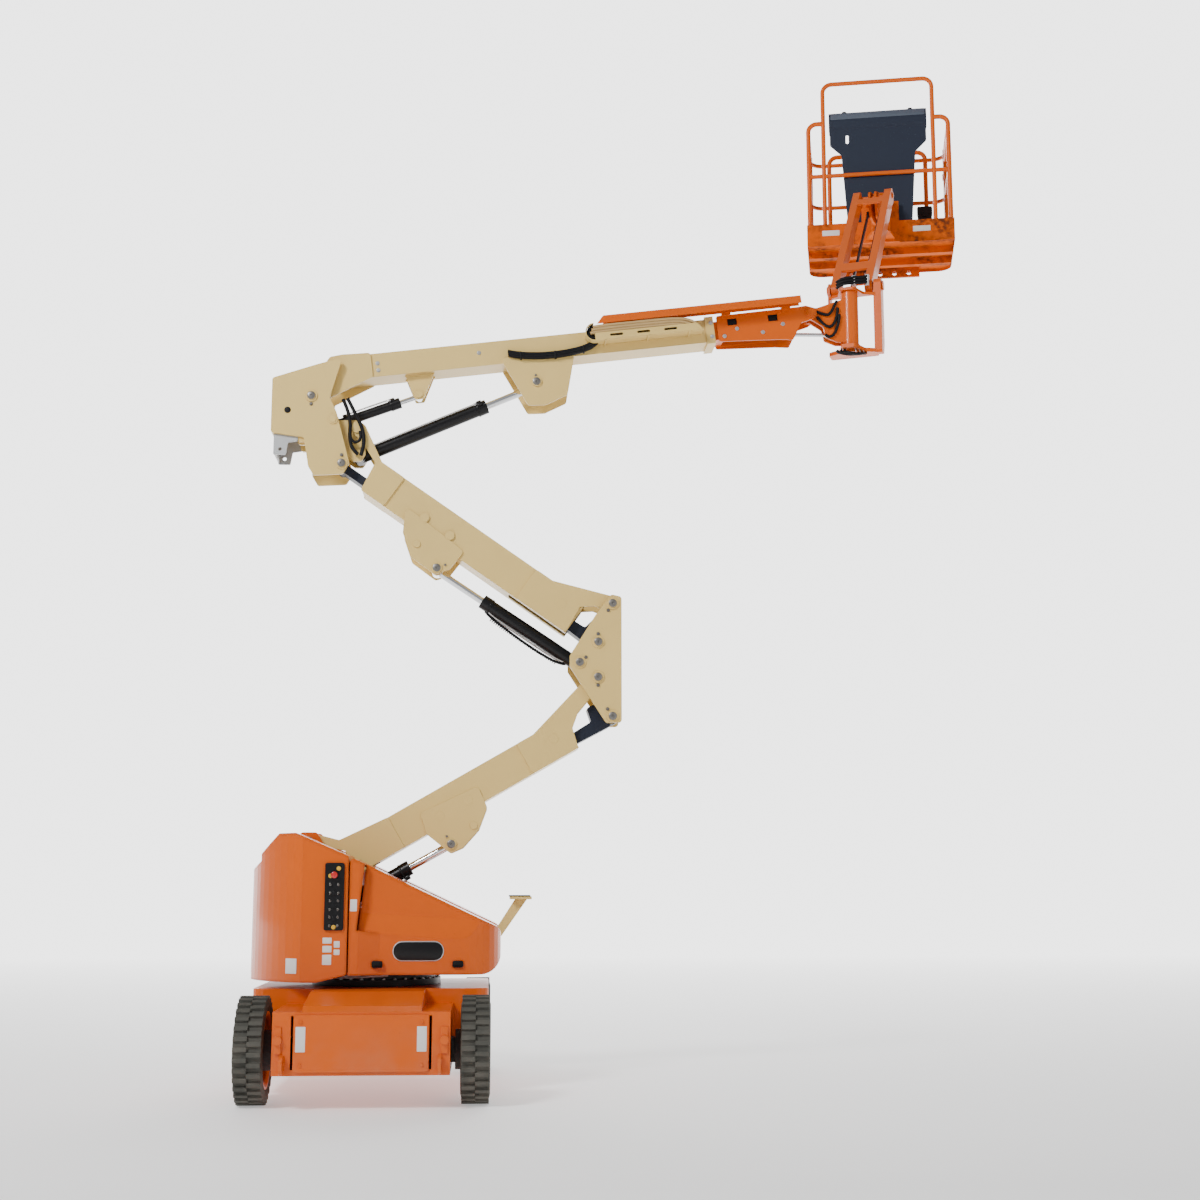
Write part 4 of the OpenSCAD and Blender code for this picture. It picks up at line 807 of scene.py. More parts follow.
    def join(self, name: str, pieces: Sequence[bpy.types.Object]) -> bpy.types.Object:
        """Join pieces into one and name it.

        Args:
            name: the piece's name.
            pieces: the pieces to join.

        Returns:
            The piece.
        """
        self.clear()
        for piece in pieces:
            piece.select_set(True)
        bpy.context.view_layer.objects.active = pieces[0]
        if len(pieces) > 1:
            bpy.ops.object.join()
        return self.fresh(name)

    def spread(self, name: str, pattern: bpy.types.Object, places: Iterable[Matrix]) -> bpy.types.Object:
        """Copy a modelled pattern to each place, each copy with its own mesh, and join the copies.

        Args:
            name: the joined piece's name.
            pattern: the piece to copy, modelled at the origin; it is deleted.
            places: where the copies go.

        Returns:
            The joined piece.
        """
        copies = []
        for place in places:
            copy = pattern.copy()
            copy.data = pattern.data.copy()
            bpy.context.collection.objects.link(copy)
            copies.append(self.settle(copy, place))
        bpy.data.objects.remove(pattern)
        return self.join(name, copies)

    def bolt(self, radius: float, height: float) -> bpy.types.Object:
        """Model a hexagon bolt's head on a washer, standing on z = 0 and pointing up.

        Args:
            radius: its radius.
            height: its height.

        Returns:
            The piece.
        """
        self.clear()
        bpy.ops.mesh.primitive_cylinder_add(vertices=24, radius=radius * 1.35, depth=height * 0.3,
                                            location=(0.0, 0.0, height * 0.15))
        washer = self.settle(self.fresh("washer"))
        self.clear()
        bpy.ops.mesh.primitive_cylinder_add(vertices=6, radius=radius, depth=height * 0.75,
                                            location=(0.0, 0.0, height * 0.625))
        head = self.soften(self.settle(self.fresh("head")), radius * 0.10, steps=1)
        return self.join("bolt", [washer, head])

    def hand_over(self, piece: bpy.types.Object, body: str, finish: Finish) -> bpy.types.Object:
        """Paint a finished piece, make it ride on a body and report it.

        Args:
            piece: the piece, at the origin.
            body: the body that carries it.
            finish: its finish.

        Returns:
            The same piece.
        """
        self.clear()
        piece.data.materials.clear()
        piece.data.materials.append(finish.material())
        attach(piece, body)
        LOG.info("%s rides on %s, %d faces", piece.name, body, len(piece.data.polygons))
        return piece


def flat_frame(point: Vector, degrees: float, mirrored: bool = False) -> Matrix:
    """Return the frame of an arm in the middle plane.

    Args:
        point: the arm's pivot.
        degrees: its slope above level.
        mirrored: True where the arm points towards -X.

    Returns:
        A matrix with local X along the arm and local Z square to it, upwards.
    """
    turn = Matrix.Rotation(math.pi, 4, "Z") if mirrored else Matrix.Identity(4)
    return Matrix.Translation(point) @ turn @ Matrix.Rotation(math.radians(-degrees), 4, "Y")


def slope_of(start: Vector, end: Vector) -> float:
    """Return the slope of a line above level, in degrees."""
    along = end - start
    return math.degrees(math.atan2(along.z, math.hypot(along.x, along.y)))


def facing(point: Sequence[float], towards: Sequence[float]) -> Matrix:
    """Return a placement whose local Z points towards a direction."""
    return Matrix.Translation(point) @ Vector(towards).to_track_quat("Z", "Y").to_matrix().to_4x4()


def rounded_box(x0: float, z0: float, x1: float, z1: float, radius: float,
                steps: int = 6) -> list[tuple[float, float]]:
    """Return the outline of a rectangle with round corners, in X and Z.

    Args:
        x0: its left end.
        z0: its lower end.
        x1: its right end.
        z1: its upper end.
        radius: radius of its corners.
        steps: number of steps in a rounded corner.

    Returns:
        The outline's points.
    """
    corners = ((x1 - radius, z1 - radius, 0.0), (x0 + radius, z1 - radius, 90.0),
               (x0 + radius, z0 + radius, 180.0), (x1 - radius, z0 + radius, 270.0))
    outline = []
    for x, z, start in corners:
        for step in range(steps + 1):
            angle = math.radians(start + 90.0 * step / steps)
            outline.append((x + radius * math.cos(angle), z + radius * math.sin(angle)))
    return outline


@dataclass
class Pin:
    """One pin of the tower or boom.

    Attributes:
        x: place along X in the pin's frame.
        z: place along Z in the pin's frame.
        face: distance of its end from the middle plane.
        keeper: offset of the keeper bolt in X and Z, or None.
    """

    x: float
    z: float
    face: float
    keeper: tuple[float, float] | None = None


@dataclass
class PinEnds:
    """Plated ends of the pins on one body, with their keeper bolts.

    Attributes:
        body: the body that carries them.
        frame: the frame that the pins are given in.
        pins: the pins.
        radius: radius of a pin's end.
        bolt: radius of a keeper bolt.
    """

    body: str
    frame: Matrix
    pins: Sequence[Pin]
    radius: float = 0.0275
    bolt: float = 0.009

    def build(self, bench: Bench) -> None:
        """Model the ends on both sides.

        Args:
            bench: the bench that models the pieces.
        """
        caps, keepers = [], []
        for pin in self.pins:
            for side in (-1.0, 1.0):
                caps.append(self.frame @ facing((pin.x, side * pin.face, pin.z), (0.0, side, 0.0)))
                if pin.keeper:
                    spot = (pin.x + pin.keeper[0], side * (pin.face - 0.014), pin.z + pin.keeper[1])
                    keepers.append(self.frame @ facing(spot, (0.0, side, 0.0)))
        ends = bench.spread("pin_ends_" + self.body, self.pin_end(bench), caps)
        bench.hand_over(ends, self.body, PIN)
        if keepers:
            bolts = bench.spread("keeper_bolts_" + self.body, bench.bolt(self.bolt, 0.012), keepers)
            bench.hand_over(bolts, self.body, PIN)

    def pin_end(self, bench: Bench) -> bpy.types.Object:
        """Model a turned pin end with a chamfer and a centre dimple, pointing up from z = 0.

        Args:
            bench: the bench that models the pieces.

        Returns:
            The piece.
        """
        bench.clear()
        bpy.ops.mesh.primitive_cylinder_add(vertices=40, radius=self.radius, depth=0.014,
                                            location=(0.0, 0.0, -0.003))
        end = bench.settle(bench.fresh("pin_end"))
        bpy.ops.object.mode_set(mode="EDIT")
        bpy.ops.mesh.select_all(action="DESELECT")
        bpy.ops.object.mode_set(mode="OBJECT")
        for face in end.data.polygons:
            face.select = face.normal.z > 0.9
        bpy.ops.object.mode_set(mode="EDIT")
        bpy.ops.mesh.inset(thickness=0.005, depth=0.003)
        bpy.ops.mesh.inset(thickness=0.016, depth=0.0)
        bpy.ops.mesh.inset(thickness=0.003, depth=-0.004)
        bpy.ops.object.mode_set(mode="OBJECT")
        bpy.ops.object.shade_smooth_by_angle(angle=math.radians(35.0))
        return end


@dataclass
class Dimples:
    """Round pressed dimples on both side plates of an arm.

    Attributes:
        body: the arm's body.
        frame: the arm's frame.
        spots: their places along X and Z.
        face: distance of the plates' faces from the middle plane.
        radius: outer radius.
    """

    body: str
    frame: Matrix
    spots: Sequence[tuple[float, float]]
    face: float = 0.127
    radius: float = 0.036

    def build(self, bench: Bench) -> None:
        """Model the dimples.

        Args:
            bench: the bench that models the pieces.
        """
        places = [self.frame @ facing((x, side * self.face, z), (0.0, side, 0.0))
                  for x, z in self.spots for side in (-1.0, 1.0)]
        bench.hand_over(bench.spread("dimples_" + self.body, self.dish(bench), places), self.body, CREAM)

    def dish(self, bench: Bench) -> bpy.types.Object:
        """Model one dished ring, standing on z = 0.

        Args:
            bench: the bench that models the pieces.

        Returns:
            The piece.
        """
        bench.clear()
        bpy.ops.mesh.primitive_cylinder_add(vertices=40, radius=self.radius, depth=0.007,
                                            location=(0.0, 0.0, 0.0015))
        dish = bench.settle(bench.fresh("dish"))
        for face in dish.data.polygons:
            face.select = face.normal.z > 0.9
        bpy.ops.object.mode_set(mode="EDIT")
        bpy.ops.mesh.inset(thickness=0.005, depth=0.004)
        bpy.ops.mesh.inset(thickness=0.005, depth=0.0)
        bpy.ops.mesh.inset(thickness=0.012, depth=-0.0075)
        bpy.ops.object.mode_set(mode="OBJECT")
        bpy.ops.object.shade_smooth_by_angle(angle=math.radians(60.0))
        return dish


@dataclass
class CylinderTrim:
    """Port blocks, unions, gland nut and hard line of one hydraulic cylinder.

    Attributes:
        name: the cylinder's name, as its joints begin.
        length: length of its barrel.
        radius: radius of its barrel.
        side: angle of the ports round the barrel, in degrees from its top towards the near side.
    """

    name: str
    length: float
    radius: float
    side: float = 60.0

    def build(self, bench: Bench, rig: Rig) -> None:
        """Model the trim along the barrel.

        Args:
            bench: the bench that models the pieces.
            rig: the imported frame.
        """
        base = rig.pivot(self.name + "_barrel_pivot")
        along = rig.axis(self.name + "_rod_slide")
        frame = Matrix.Translation(base) @ along.to_track_quat("X", "Z").to_matrix().to_4x4()
        frame = frame @ Matrix.Rotation(math.radians(self.side), 4, "X")
        body = self.name + "_barrel"
        near, far = 0.085, self.length - 0.045
        top = self.radius + 0.004
        size = 0.4 * self.radius
        blocks = [bench.box("port", (x - size, -size, self.radius - 0.006),
                            (x + size, size, top + size * 0.9), 0.003)
                  for x in (near, far)]
        collar = bench.rod("collar", (self.length - 0.072, 0.0, 0.0), (self.length - 0.060, 0.0, 0.0),
                           self.radius + 0.006, 0.002, 40)
        blocks.append(collar)
        bench.hand_over(bench.settle(bench.join("ports_" + body, blocks), frame), body, BLACK)
        z = top + size * 0.45
        line = bench.tube("hard_line", [(near + size, size * 0.2, z),
                                        (near + 0.03 + size, size * 0.2, z + 0.004),
                                        (0.3 * near + 0.7 * far, size * 0.2, z + 0.004),
                                        (far - 0.03 - size, size * 0.2, z + 0.004),
                                        (far - size, size * 0.2, z)], 0.0055)
        unions = [bench.rod("union", (x, size * 0.2, z), (x + way * 0.022, size * 0.2, z), 0.0105, 0.001, 6)
                  for x, way in ((near + size, 1.0), (far - size, -1.0))]
        piece = bench.join("hard_line_" + body, [line] + unions)
        bench.hand_over(bench.settle(piece, frame), body, STEEL)


@dataclass
class Tower:
    """Pins, dimples and hoses of the two-stage tower.

    Attributes:
        link: offset of a stage's link from its arm's pin.
        plate: distance of the uprights' pin ends from the middle plane.
        horn: distance of the arms' stub ends from the middle plane.
        plug: offset of the dark discs in the upper upright's holes from the boom's pin; they are painted
            shade.
        hole_shade_radius: radius of a dark disc.
        lower_dimples: places of the dimples along the lower arm.
        middle_dimples: places of the dimples along the middle arm.
        cylinders: name, barrel length, barrel radius and angle of the ports of each cylinder.
    """

    link: tuple[float, float] = (0.098, -0.264)
    plate: float = 0.184
    horn: float = 0.137
    plug: tuple[float, float] = (-0.159, -0.103)
    hole_shade_radius: float = 0.022
    lower_dimples: Spots = ((0.820, -0.283), (1.033, -0.283), (1.733, -0.208))
    middle_dimples: Spots = ((1.389, -0.247), (1.177, -0.249), (0.285, -0.192))
    cylinders: tuple[tuple[str, float, float, float], ...] = (
        ("lower", 0.618, 0.046, 165.0), ("mid", 0.790, 0.046, 100.0),
        ("lift", 0.950, 0.046, 60.0), ("level", 0.480, 0.034, 40.0))

    def build(self, bench: Bench, rig: Rig) -> None:
        """Dress the tower.

        Args:
            bench: the bench that models the pieces.
            rig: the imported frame.
        """
        foot, elbow = rig.pivot("lower_lift"), rig.pivot("mid_upright_level")
        knee, shoulder = rig.pivot("mid_lift"), rig.pivot("upper_upright_level")
        lower = flat_frame(foot, slope_of(foot, elbow))
        middle = flat_frame(knee, slope_of(knee, shoulder), mirrored=True)
        self.pins(bench, rig, lower, middle)
        Dimples("lower_arm", lower, self.lower_dimples).build(bench)
        Dimples("mid_arm", middle, self.middle_dimples).build(bench)
        for cylinder in self.cylinders:
            CylinderTrim(*cylinder).build(bench, rig)
        self.ribbed_hose(bench, rig)
        self.hoses(bench, rig)
        self.hole_shade_discs(bench, rig)

    def hole_shade_discs(self, bench: Bench, rig: Rig) -> None:
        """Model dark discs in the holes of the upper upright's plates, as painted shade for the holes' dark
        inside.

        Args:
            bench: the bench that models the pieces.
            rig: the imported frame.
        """
        pin = rig.pivot("main_lift")
        x, z = pin.x + self.plug[0], pin.z + self.plug[1]
        face = self.plate - 0.014
        # Painted shade: a dark disc in each plate's hole stands for the shaded inside
        hole_shade_discs = [bench.rod("plug", (x, side * (face - 0.010), z), (x, side * (face + 0.004), z),
                           self.hole_shade_radius, 0.002, 28)
                 for side in (-1.0, 1.0)]
        bench.hand_over(bench.join("upright_plugs", hole_shade_discs), "upper_upright", RUBBER)

    def pins(self, bench: Bench, rig: Rig, lower: Matrix, middle: Matrix) -> None:
        """Model the pin ends of the uprights and of the arms' brackets.

        Args:
            bench: the bench that models the pieces.
            rig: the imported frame.
            lower: frame of the lower arm.
            middle: frame of the middle arm.
        """
        def spot(joint: str, keeper: tuple[float, float] | None, dx: float = 0.0, dz: float = 0.0) -> Pin:
            """Return a pin of an upright at a joint, moved by dx and dz."""
            point = rig.pivot(joint)
            return Pin(point.x + dx, point.z + dz, self.plate, keeper)

        dx, dz = self.link
        level = Matrix.Identity(4)
        PinEnds("mid_upright", level, (
            spot("mid_lift", (-0.030, -0.048)), spot("mid_link_pivot", (0.0, 0.054)),
            spot("mid_barrel_pivot", (0.042, 0.034)), spot("mid_upright_level", (0.0, -0.056)),
            spot("mid_upright_level", (-0.034, 0.048), dx, dz))).build(bench)
        PinEnds("upper_upright", level, (
            spot("main_lift", (0.0, -0.058)),
            spot("upper_upright_level", (0.0, 0.058), -dx, dz))).build(bench)
        PinEnds("turret", level, (spot("lower_lift", None),)).build(bench)
        PinEnds("lower_arm", lower, (Pin(0.795, -0.480, self.horn, (0.0, 0.058)),)).build(bench)
        PinEnds("mid_arm", middle, (Pin(1.118, -0.483, self.horn, (-0.035, 0.050)),)).build(bench)

    def ribbed_hose(self, bench: Bench, rig: Rig) -> None:
        """Model the ribbed hose and the two thin lines under the middle cylinder's barrel.

        Args:
            bench: the bench that models the pieces.
            rig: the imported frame.
        """
        along = rig.axis("mid_rod_slide")
        frame = Matrix.Translation(rig.pivot("mid_barrel_pivot"))
        frame = frame @ along.to_track_quat("X", "Z").to_matrix().to_4x4()
        path = [(0.735, 0.0, -0.046), (0.690, 0.0, -0.064), (0.560, 0.0, -0.070), (0.420, 0.0, -0.078),
                (0.280, 0.0, -0.080), (0.160, 0.0, -0.072), (0.100, 0.0, -0.058), (0.078, 0.0, -0.042)]
        hose = bench.tube("ribbed", path, 0.0095)
        ribs = []
        for step in range(34):
            x, z = 0.140 + 0.016 * step, -0.074 - 0.005 * math.sin(math.pi * step / 33)
            ribs.append(bench.rod("rib", (x, 0.0, z), (x + 0.007, 0.0, z), 0.0125, 0.002, 20))
        piece = bench.join("ribbed_hose_mid_barrel", [hose] + ribs)
        bench.hand_over(bench.settle(piece, frame), "mid_barrel", RUBBER)
        route = ((0.710, -0.044), (0.660, -0.053), (0.500, -0.054), (0.320, -0.055), (0.150, -0.054),
                 (0.100, -0.042))
        lines = [bench.tube("thin", [(x, y, z) for x, z in route], 0.004) for y in (-0.030, 0.030)]
        piece = bench.join("thin_lines_mid_barrel", lines)
        bench.hand_over(bench.settle(piece, frame), "mid_barrel", STEEL)

    def hoses(self, bench: Bench, rig: Rig) -> None:
        """Model the hoses that hang on the upper upright.

        Args:
            bench: the bench that models the pieces.
            rig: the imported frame.
        """
        root = rig.pivot("main_lift")
        routes = (
            (0.013, ((0.215, -0.015), (0.235, -0.06), (0.262, -0.13), (0.270, -0.22), (0.262, -0.30),
                     (0.285, -0.37), (0.325, -0.40))),
            (0.013, ((0.245, -0.010), (0.268, -0.05), (0.300, -0.12), (0.345, -0.20), (0.365, -0.28),
                     (0.362, -0.35), (0.345, -0.41))),
            (0.010, ((0.270, -0.20), (0.262, -0.26), (0.278, -0.315), (0.320, -0.325), (0.348, -0.29),
                     (0.335, -0.24))),
        )
        hoses = []
        for index, (radius, route) in enumerate(routes):
            y = -0.148 - 0.004 * index
            points = [(root.x + x, y, root.z + z) for x, z in route]
            hoses.append(bench.tube("hose", points, radius))
        bench.hand_over(bench.join("tower_hoses", hoses), "upper_upright", RUBBER)


@dataclass
class BoomTrim:
    """Cable bundle, chain and bolts of the telescopic boom.

    Attributes:
        side: distance of the bundle from the middle plane.
        tray_start: where the tray's round end sits along the boom.
        tray_z: height of the round end's middle above the pivot's line.
        tray_y: middle of the tray across the machine.
        windows: places of the fly's windows along the boom.
        base_bolts: places of the base boom's bolts.
        fly_bolts: places of the fly boom's bolts.
        collar_from: where the base boom's end collar begins.
        boom_face: distance of the base boom's sides from the middle plane.
        collar_face: distance of the collar's sides.
        fly_face: distance of the fly boom's side plates.
    """

    side: float = 0.140
    tray_start: float = 1.985
    tray_z: float = 0.232
    tray_y: float = -0.160
    windows: tuple[float, float] = (2.972, 3.264)
    base_bolts: Spots = ((0.470, 0.200), (0.470, 0.150), (1.175, 0.200), (2.815, 0.140), (2.815, 0.240))
    fly_bolts: Spots = ((3.000, 0.185), (3.330, 0.185), (2.905, 0.140), (3.180, 0.140))
    collar_from: float = 2.8
    boom_face: float = 0.105
    collar_face: float = 0.119
    fly_face: float = 0.097

    def build(self, bench: Bench, rig: Rig) -> None:
        """Dress the boom.

        Args:
            bench: the bench that models the pieces.
            rig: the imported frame.
        """
        slide = rig.axis("telescope")
        frame = flat_frame(rig.pivot("main_lift"), math.degrees(math.atan2(slide.z, slide.x)))
        self.bundle(bench, frame)
        self.chain(bench, frame)
        self.tray_hoses(bench, frame)
        PinEnds("main_boom", frame, (Pin(1.548, -0.052, 0.127, (0.0, 0.046)),)).build(bench)
        self.bolts(bench, frame)
        self.window_shade_sheets(bench, frame)

    def window_shade_sheets(self, bench: Bench, frame: Matrix) -> None:
        """Model dark sheets set into the windows of the fly's side plates, as painted shade for the fly's
        dark inside.

        Args:
            bench: the bench that models the pieces.
            frame: frame of the body that carries the pieces.
        """
        # Painted shade: dark sheets stand for the shaded inside seen through the windows
        sheets = [bench.box("blank", (x - 0.036, side * 0.088 - 0.002, 0.212),
                            (x + 0.036, side * 0.088 + 0.002, 0.264), 0.001)
                  for x in self.windows for side in (-1.0, 1.0)]
        bench.hand_over(bench.settle(bench.join("fly_blanks", sheets), frame), "fly_boom", RUBBER)

    def bundle(self, bench: Bench, frame: Matrix) -> None:
        """Model the bundle of cables that leaves the boom and enters the tray.

        Args:
            bench: the bench that models the pieces.
            frame: frame of the body that carries the pieces.
        """
        path = ((1.375, 0.152), (1.430, 0.132), (1.536, 0.112), (1.700, 0.104), (1.850, 0.114),
                (1.960, 0.140), (2.005, 0.176))
        strands = []
        for row in range(3):
            for layer in range(2):
                y = -self.side + 0.014 - 0.017 * layer
                strands.append(bench.tube("strand", [(x, y, z + 0.015 * row) for x, z in path], 0.0085))
        ties = [bench.box("tie", (x - 0.006, -self.side - 0.016, z - 0.011),
                          (x + 0.006, -self.side + 0.026, z + 0.041),
                          0.003)
                for x, z in ((1.460, 0.124), (1.700, 0.104), (1.900, 0.124))]
        piece = bench.join("boom_cables", strands + ties)
        bench.hand_over(bench.settle(piece, frame), "main_boom", RUBBER)

    def chain(self, bench: Bench, frame: Matrix) -> None:
        """Model the cable chain in the tray: lower run, loop and the start of the upper run.

        Args:
            bench: the bench that models the pieces.
            frame: frame of the body that carries the pieces.
        """
        radius, pitch = 0.040, 0.042
        places = []
        for step in range(15):
            places.append((self.tray_start + 0.02 + pitch * (14 - step), self.tray_z - radius, 180.0))
        for turn in (150.0, 102.0, 54.0, 6.0):
            angle = math.radians(90.0 + turn)
            places.append((self.tray_start + radius * math.cos(angle),
                           self.tray_z + radius * math.sin(angle), turn))
        links = [frame @ Matrix.Translation((x, self.tray_y, z))
                 @ Matrix.Rotation(math.radians(-turn), 4, "Y") for x, z, turn in places]
        bench.hand_over(bench.spread("cable_chain", self.link(bench, pitch), links), "main_boom", RUBBER)

    def tray_hoses(self, bench: Bench, frame: Matrix) -> None:
        """Model the tan hoses that lie in the tray, from its round end to where they dive to its floor;
        their tan is the cream darkened as painted shade inside the tray.

        Args:
            bench: the bench that models the pieces.
            frame: frame of the body that carries the pieces.
        """
        hoses = []
        for row in range(3):
            for lane in range(3):
                y = self.tray_y - 0.044 + 0.030 * lane
                z = self.tray_z + 0.002 + 0.021 * row
                end = self.tray_start + 0.640 + 0.030 * row
                path = ((self.tray_start - 0.030 + 0.012 * row, z - 0.006), (self.tray_start + 0.060, z),
                        (self.tray_start + 0.330, z - 0.002 * row), (end - 0.080, z),
                        (end, z - 0.012 - 0.010 * row), (end + 0.040, self.tray_z - 0.045))
                hoses.append(bench.tube("hose", [(x, y, height) for x, height in path], 0.0105))
        bench.hand_over(bench.settle(bench.join("tray_hoses", hoses), frame), "main_boom", TAN)

    def link(self, bench: Bench, pitch: float) -> bpy.types.Object:
        """Model one chain link: two side plates and two cross bars.

        Args:
            bench: the bench that models the pieces.
            pitch: length of a link.

        Returns:
            The piece.
        """
        half, width = 0.55 * pitch, 0.036
        parts = [bench.box("plate", (-half, y - 0.003, -0.010), (half, y + 0.003, 0.010), 0.003)
                 for y in (-width, width)]
        bar = 0.3 * pitch
        parts += [bench.box("bar", (-bar, -width, z - 0.002), (bar, width, z + 0.002), 0.001)
                  for z in (-0.010, 0.010)]
        return bench.join("link", parts)

    def bolts(self, bench: Bench, frame: Matrix) -> None:
        """Model the wear-pad bolts of the base boom and the fly boom.

        Args:
            bench: the bench that models the pieces.
            frame: frame of the body that carries the pieces.
        """
        base, fly = [], []
        for side in (-1.0, 1.0):
            for x, z in self.base_bolts:
                face = self.collar_face if x > self.collar_from else self.boom_face
                base.append(frame @ facing((x, side * face, z), (0.0, side, 0.0)))
            for x, z in self.fly_bolts:
                fly.append(frame @ facing((x, side * self.fly_face, z), (0.0, side, 0.0)))
        bench.hand_over(bench.spread("boom_bolts", bench.bolt(0.011, 0.009), base), "main_boom", STEEL)
        bench.hand_over(bench.spread("fly_bolts", bench.bolt(0.011, 0.009), fly), "fly_boom", STEEL)


@dataclass
class JibTrim:
    """Formed hoses, clamps and bolts round the jib's swing joint.

    Attributes:
        turn: direction of the jib at rest, in degrees.
        column: height of the swing column.
        rail: distance of the jib rails' inner faces from the jib's middle.
        radius: radius of a hose.
    """

    turn: float = 67.0
    column: float = 0.395
    rail: float = 0.095
    radius: float = 0.0105

    def build(self, bench: Bench, rig: Rig) -> None:
        """Dress the swing joint and the jib.

        Args:
            bench: the bench that models the pieces.
            rig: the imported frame.
        """
        swing = rig.pivot("jib_swing")
        frame = Matrix.Translation(swing) @ Matrix.Rotation(math.radians(self.turn), 4, "Z")
        self.head_hoses(bench, frame)
        self.bracket_hoses(bench, rig)
        self.rail_hoses(bench, rig)

    def head_hoses(self, bench: Bench, frame: Matrix) -> None:
        """Model the hoses over the head and the loops under it, with their clamps.

        Args:
            bench: the bench that models the pieces.
            frame: frame of the body that carries the pieces.
        """
        top = self.column
        over = [[(-0.050, 0.080, top + 0.030 + lift), (-0.062, 0.045, top + 0.052 + lift),
                 (-0.050, -0.010, top + 0.060 + lift), (-0.015, -0.070, top + 0.066 + lift),
                 (0.020, -0.100, top + 0.074 + lift), (0.046, -0.118, top + 0.090 + lift)]
                for lift in (0.0, 0.021, 0.042)]
        under = [[(-0.030, 0.060 - shift, -0.033), (-0.062, 0.062 - shift, -0.050),
                  (-0.080, 0.020 - shift, -0.070),
                  (-0.060, -0.030 - shift, -0.078), (-0.010, -0.060 - shift, -0.064),
                  (0.050, -0.070 - shift, -0.046),
                  (0.085, -0.068 - shift, -0.034)] for shift in (0.0, 0.026, -0.026)]
        hoses = [bench.tube("hose", route, self.radius) for route in over + under]
        piece = bench.join("jib_head_hoses", hoses)
        bench.hand_over(bench.settle(piece, frame), "jib_head", RUBBER)
        clamps = [bench.box("clamp", (-0.034, -0.022, top + 0.048), (-0.010, -0.052, top + 0.120), 0.003),
                  bench.box("clamp", (0.044, -0.108, top + 0.066), (0.066, -0.138, top + 0.146), 0.003)]
        bench.hand_over(bench.settle(bench.join("jib_head_clamps", clamps), frame), "jib_head", STEEL)

    def bracket_hoses(self, bench: Bench, rig: Rig) -> None:
        """Model the hoses held along the near plate of the jib's bracket.

        Args:
            bench: the bench that models the pieces.
            rig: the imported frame.
        """
        hinge = rig.pivot("jib_bracket_level")
        routes = (((0.055, -0.020), (0.085, -0.058), (0.128, -0.098), (0.172, -0.088), (0.198, -0.020),
                   (0.206, 0.050)),
                  ((0.050, 0.018), (0.090, 0.006), (0.132, -0.014), (0.164, 0.022), (0.182, 0.072),
                   (0.200, 0.100)),
                  ((0.110, -0.150), (0.132, -0.168), (0.164, -0.164), (0.190, -0.120), (0.212, -0.060),
                   (0.216, 0.0)))
        hoses = [bench.tube("hose", [(hinge.x + x, -0.0595, hinge.z + z) for x, z in route], self.radius)
                 for route in routes]
        bench.hand_over(bench.join("jib_bracket_hoses", hoses), "jib_bracket", RUBBER)

    def rail_hoses(self, bench: Bench, rig: Rig) -> None:
        """Model the two hoses along the inner face of the jib's right rail.

        Args:
            bench: the bench that models the pieces.
            rig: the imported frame.
        """
        start, end = rig.pivot("jib_lift"), rig.pivot("platform_level")
        level = Matrix.Translation(start) @ Matrix.Rotation(math.radians(self.turn), 4, "Z")
        frame = level @ Matrix.Rotation(math.radians(-slope_of(start, end)), 4, "Y")
        length = (end - start).length
        hoses = [bench.tube("hose", [(0.10, -self.rail + self.radius, z - 0.02),
                                     (0.20, -self.rail + self.radius, z),
                                     (0.5 * length, -self.rail + self.radius, z),
                                     (length - 0.30, -self.rail + self.radius, z),
                                     (length - 0.22, -self.rail + self.radius, z - 0.01)], self.radius)
                 for z in (-0.016, 0.010)]
        bench.hand_over(bench.settle(bench.join("jib_rail_hoses", hoses), frame), "jib_arm", RUBBER)


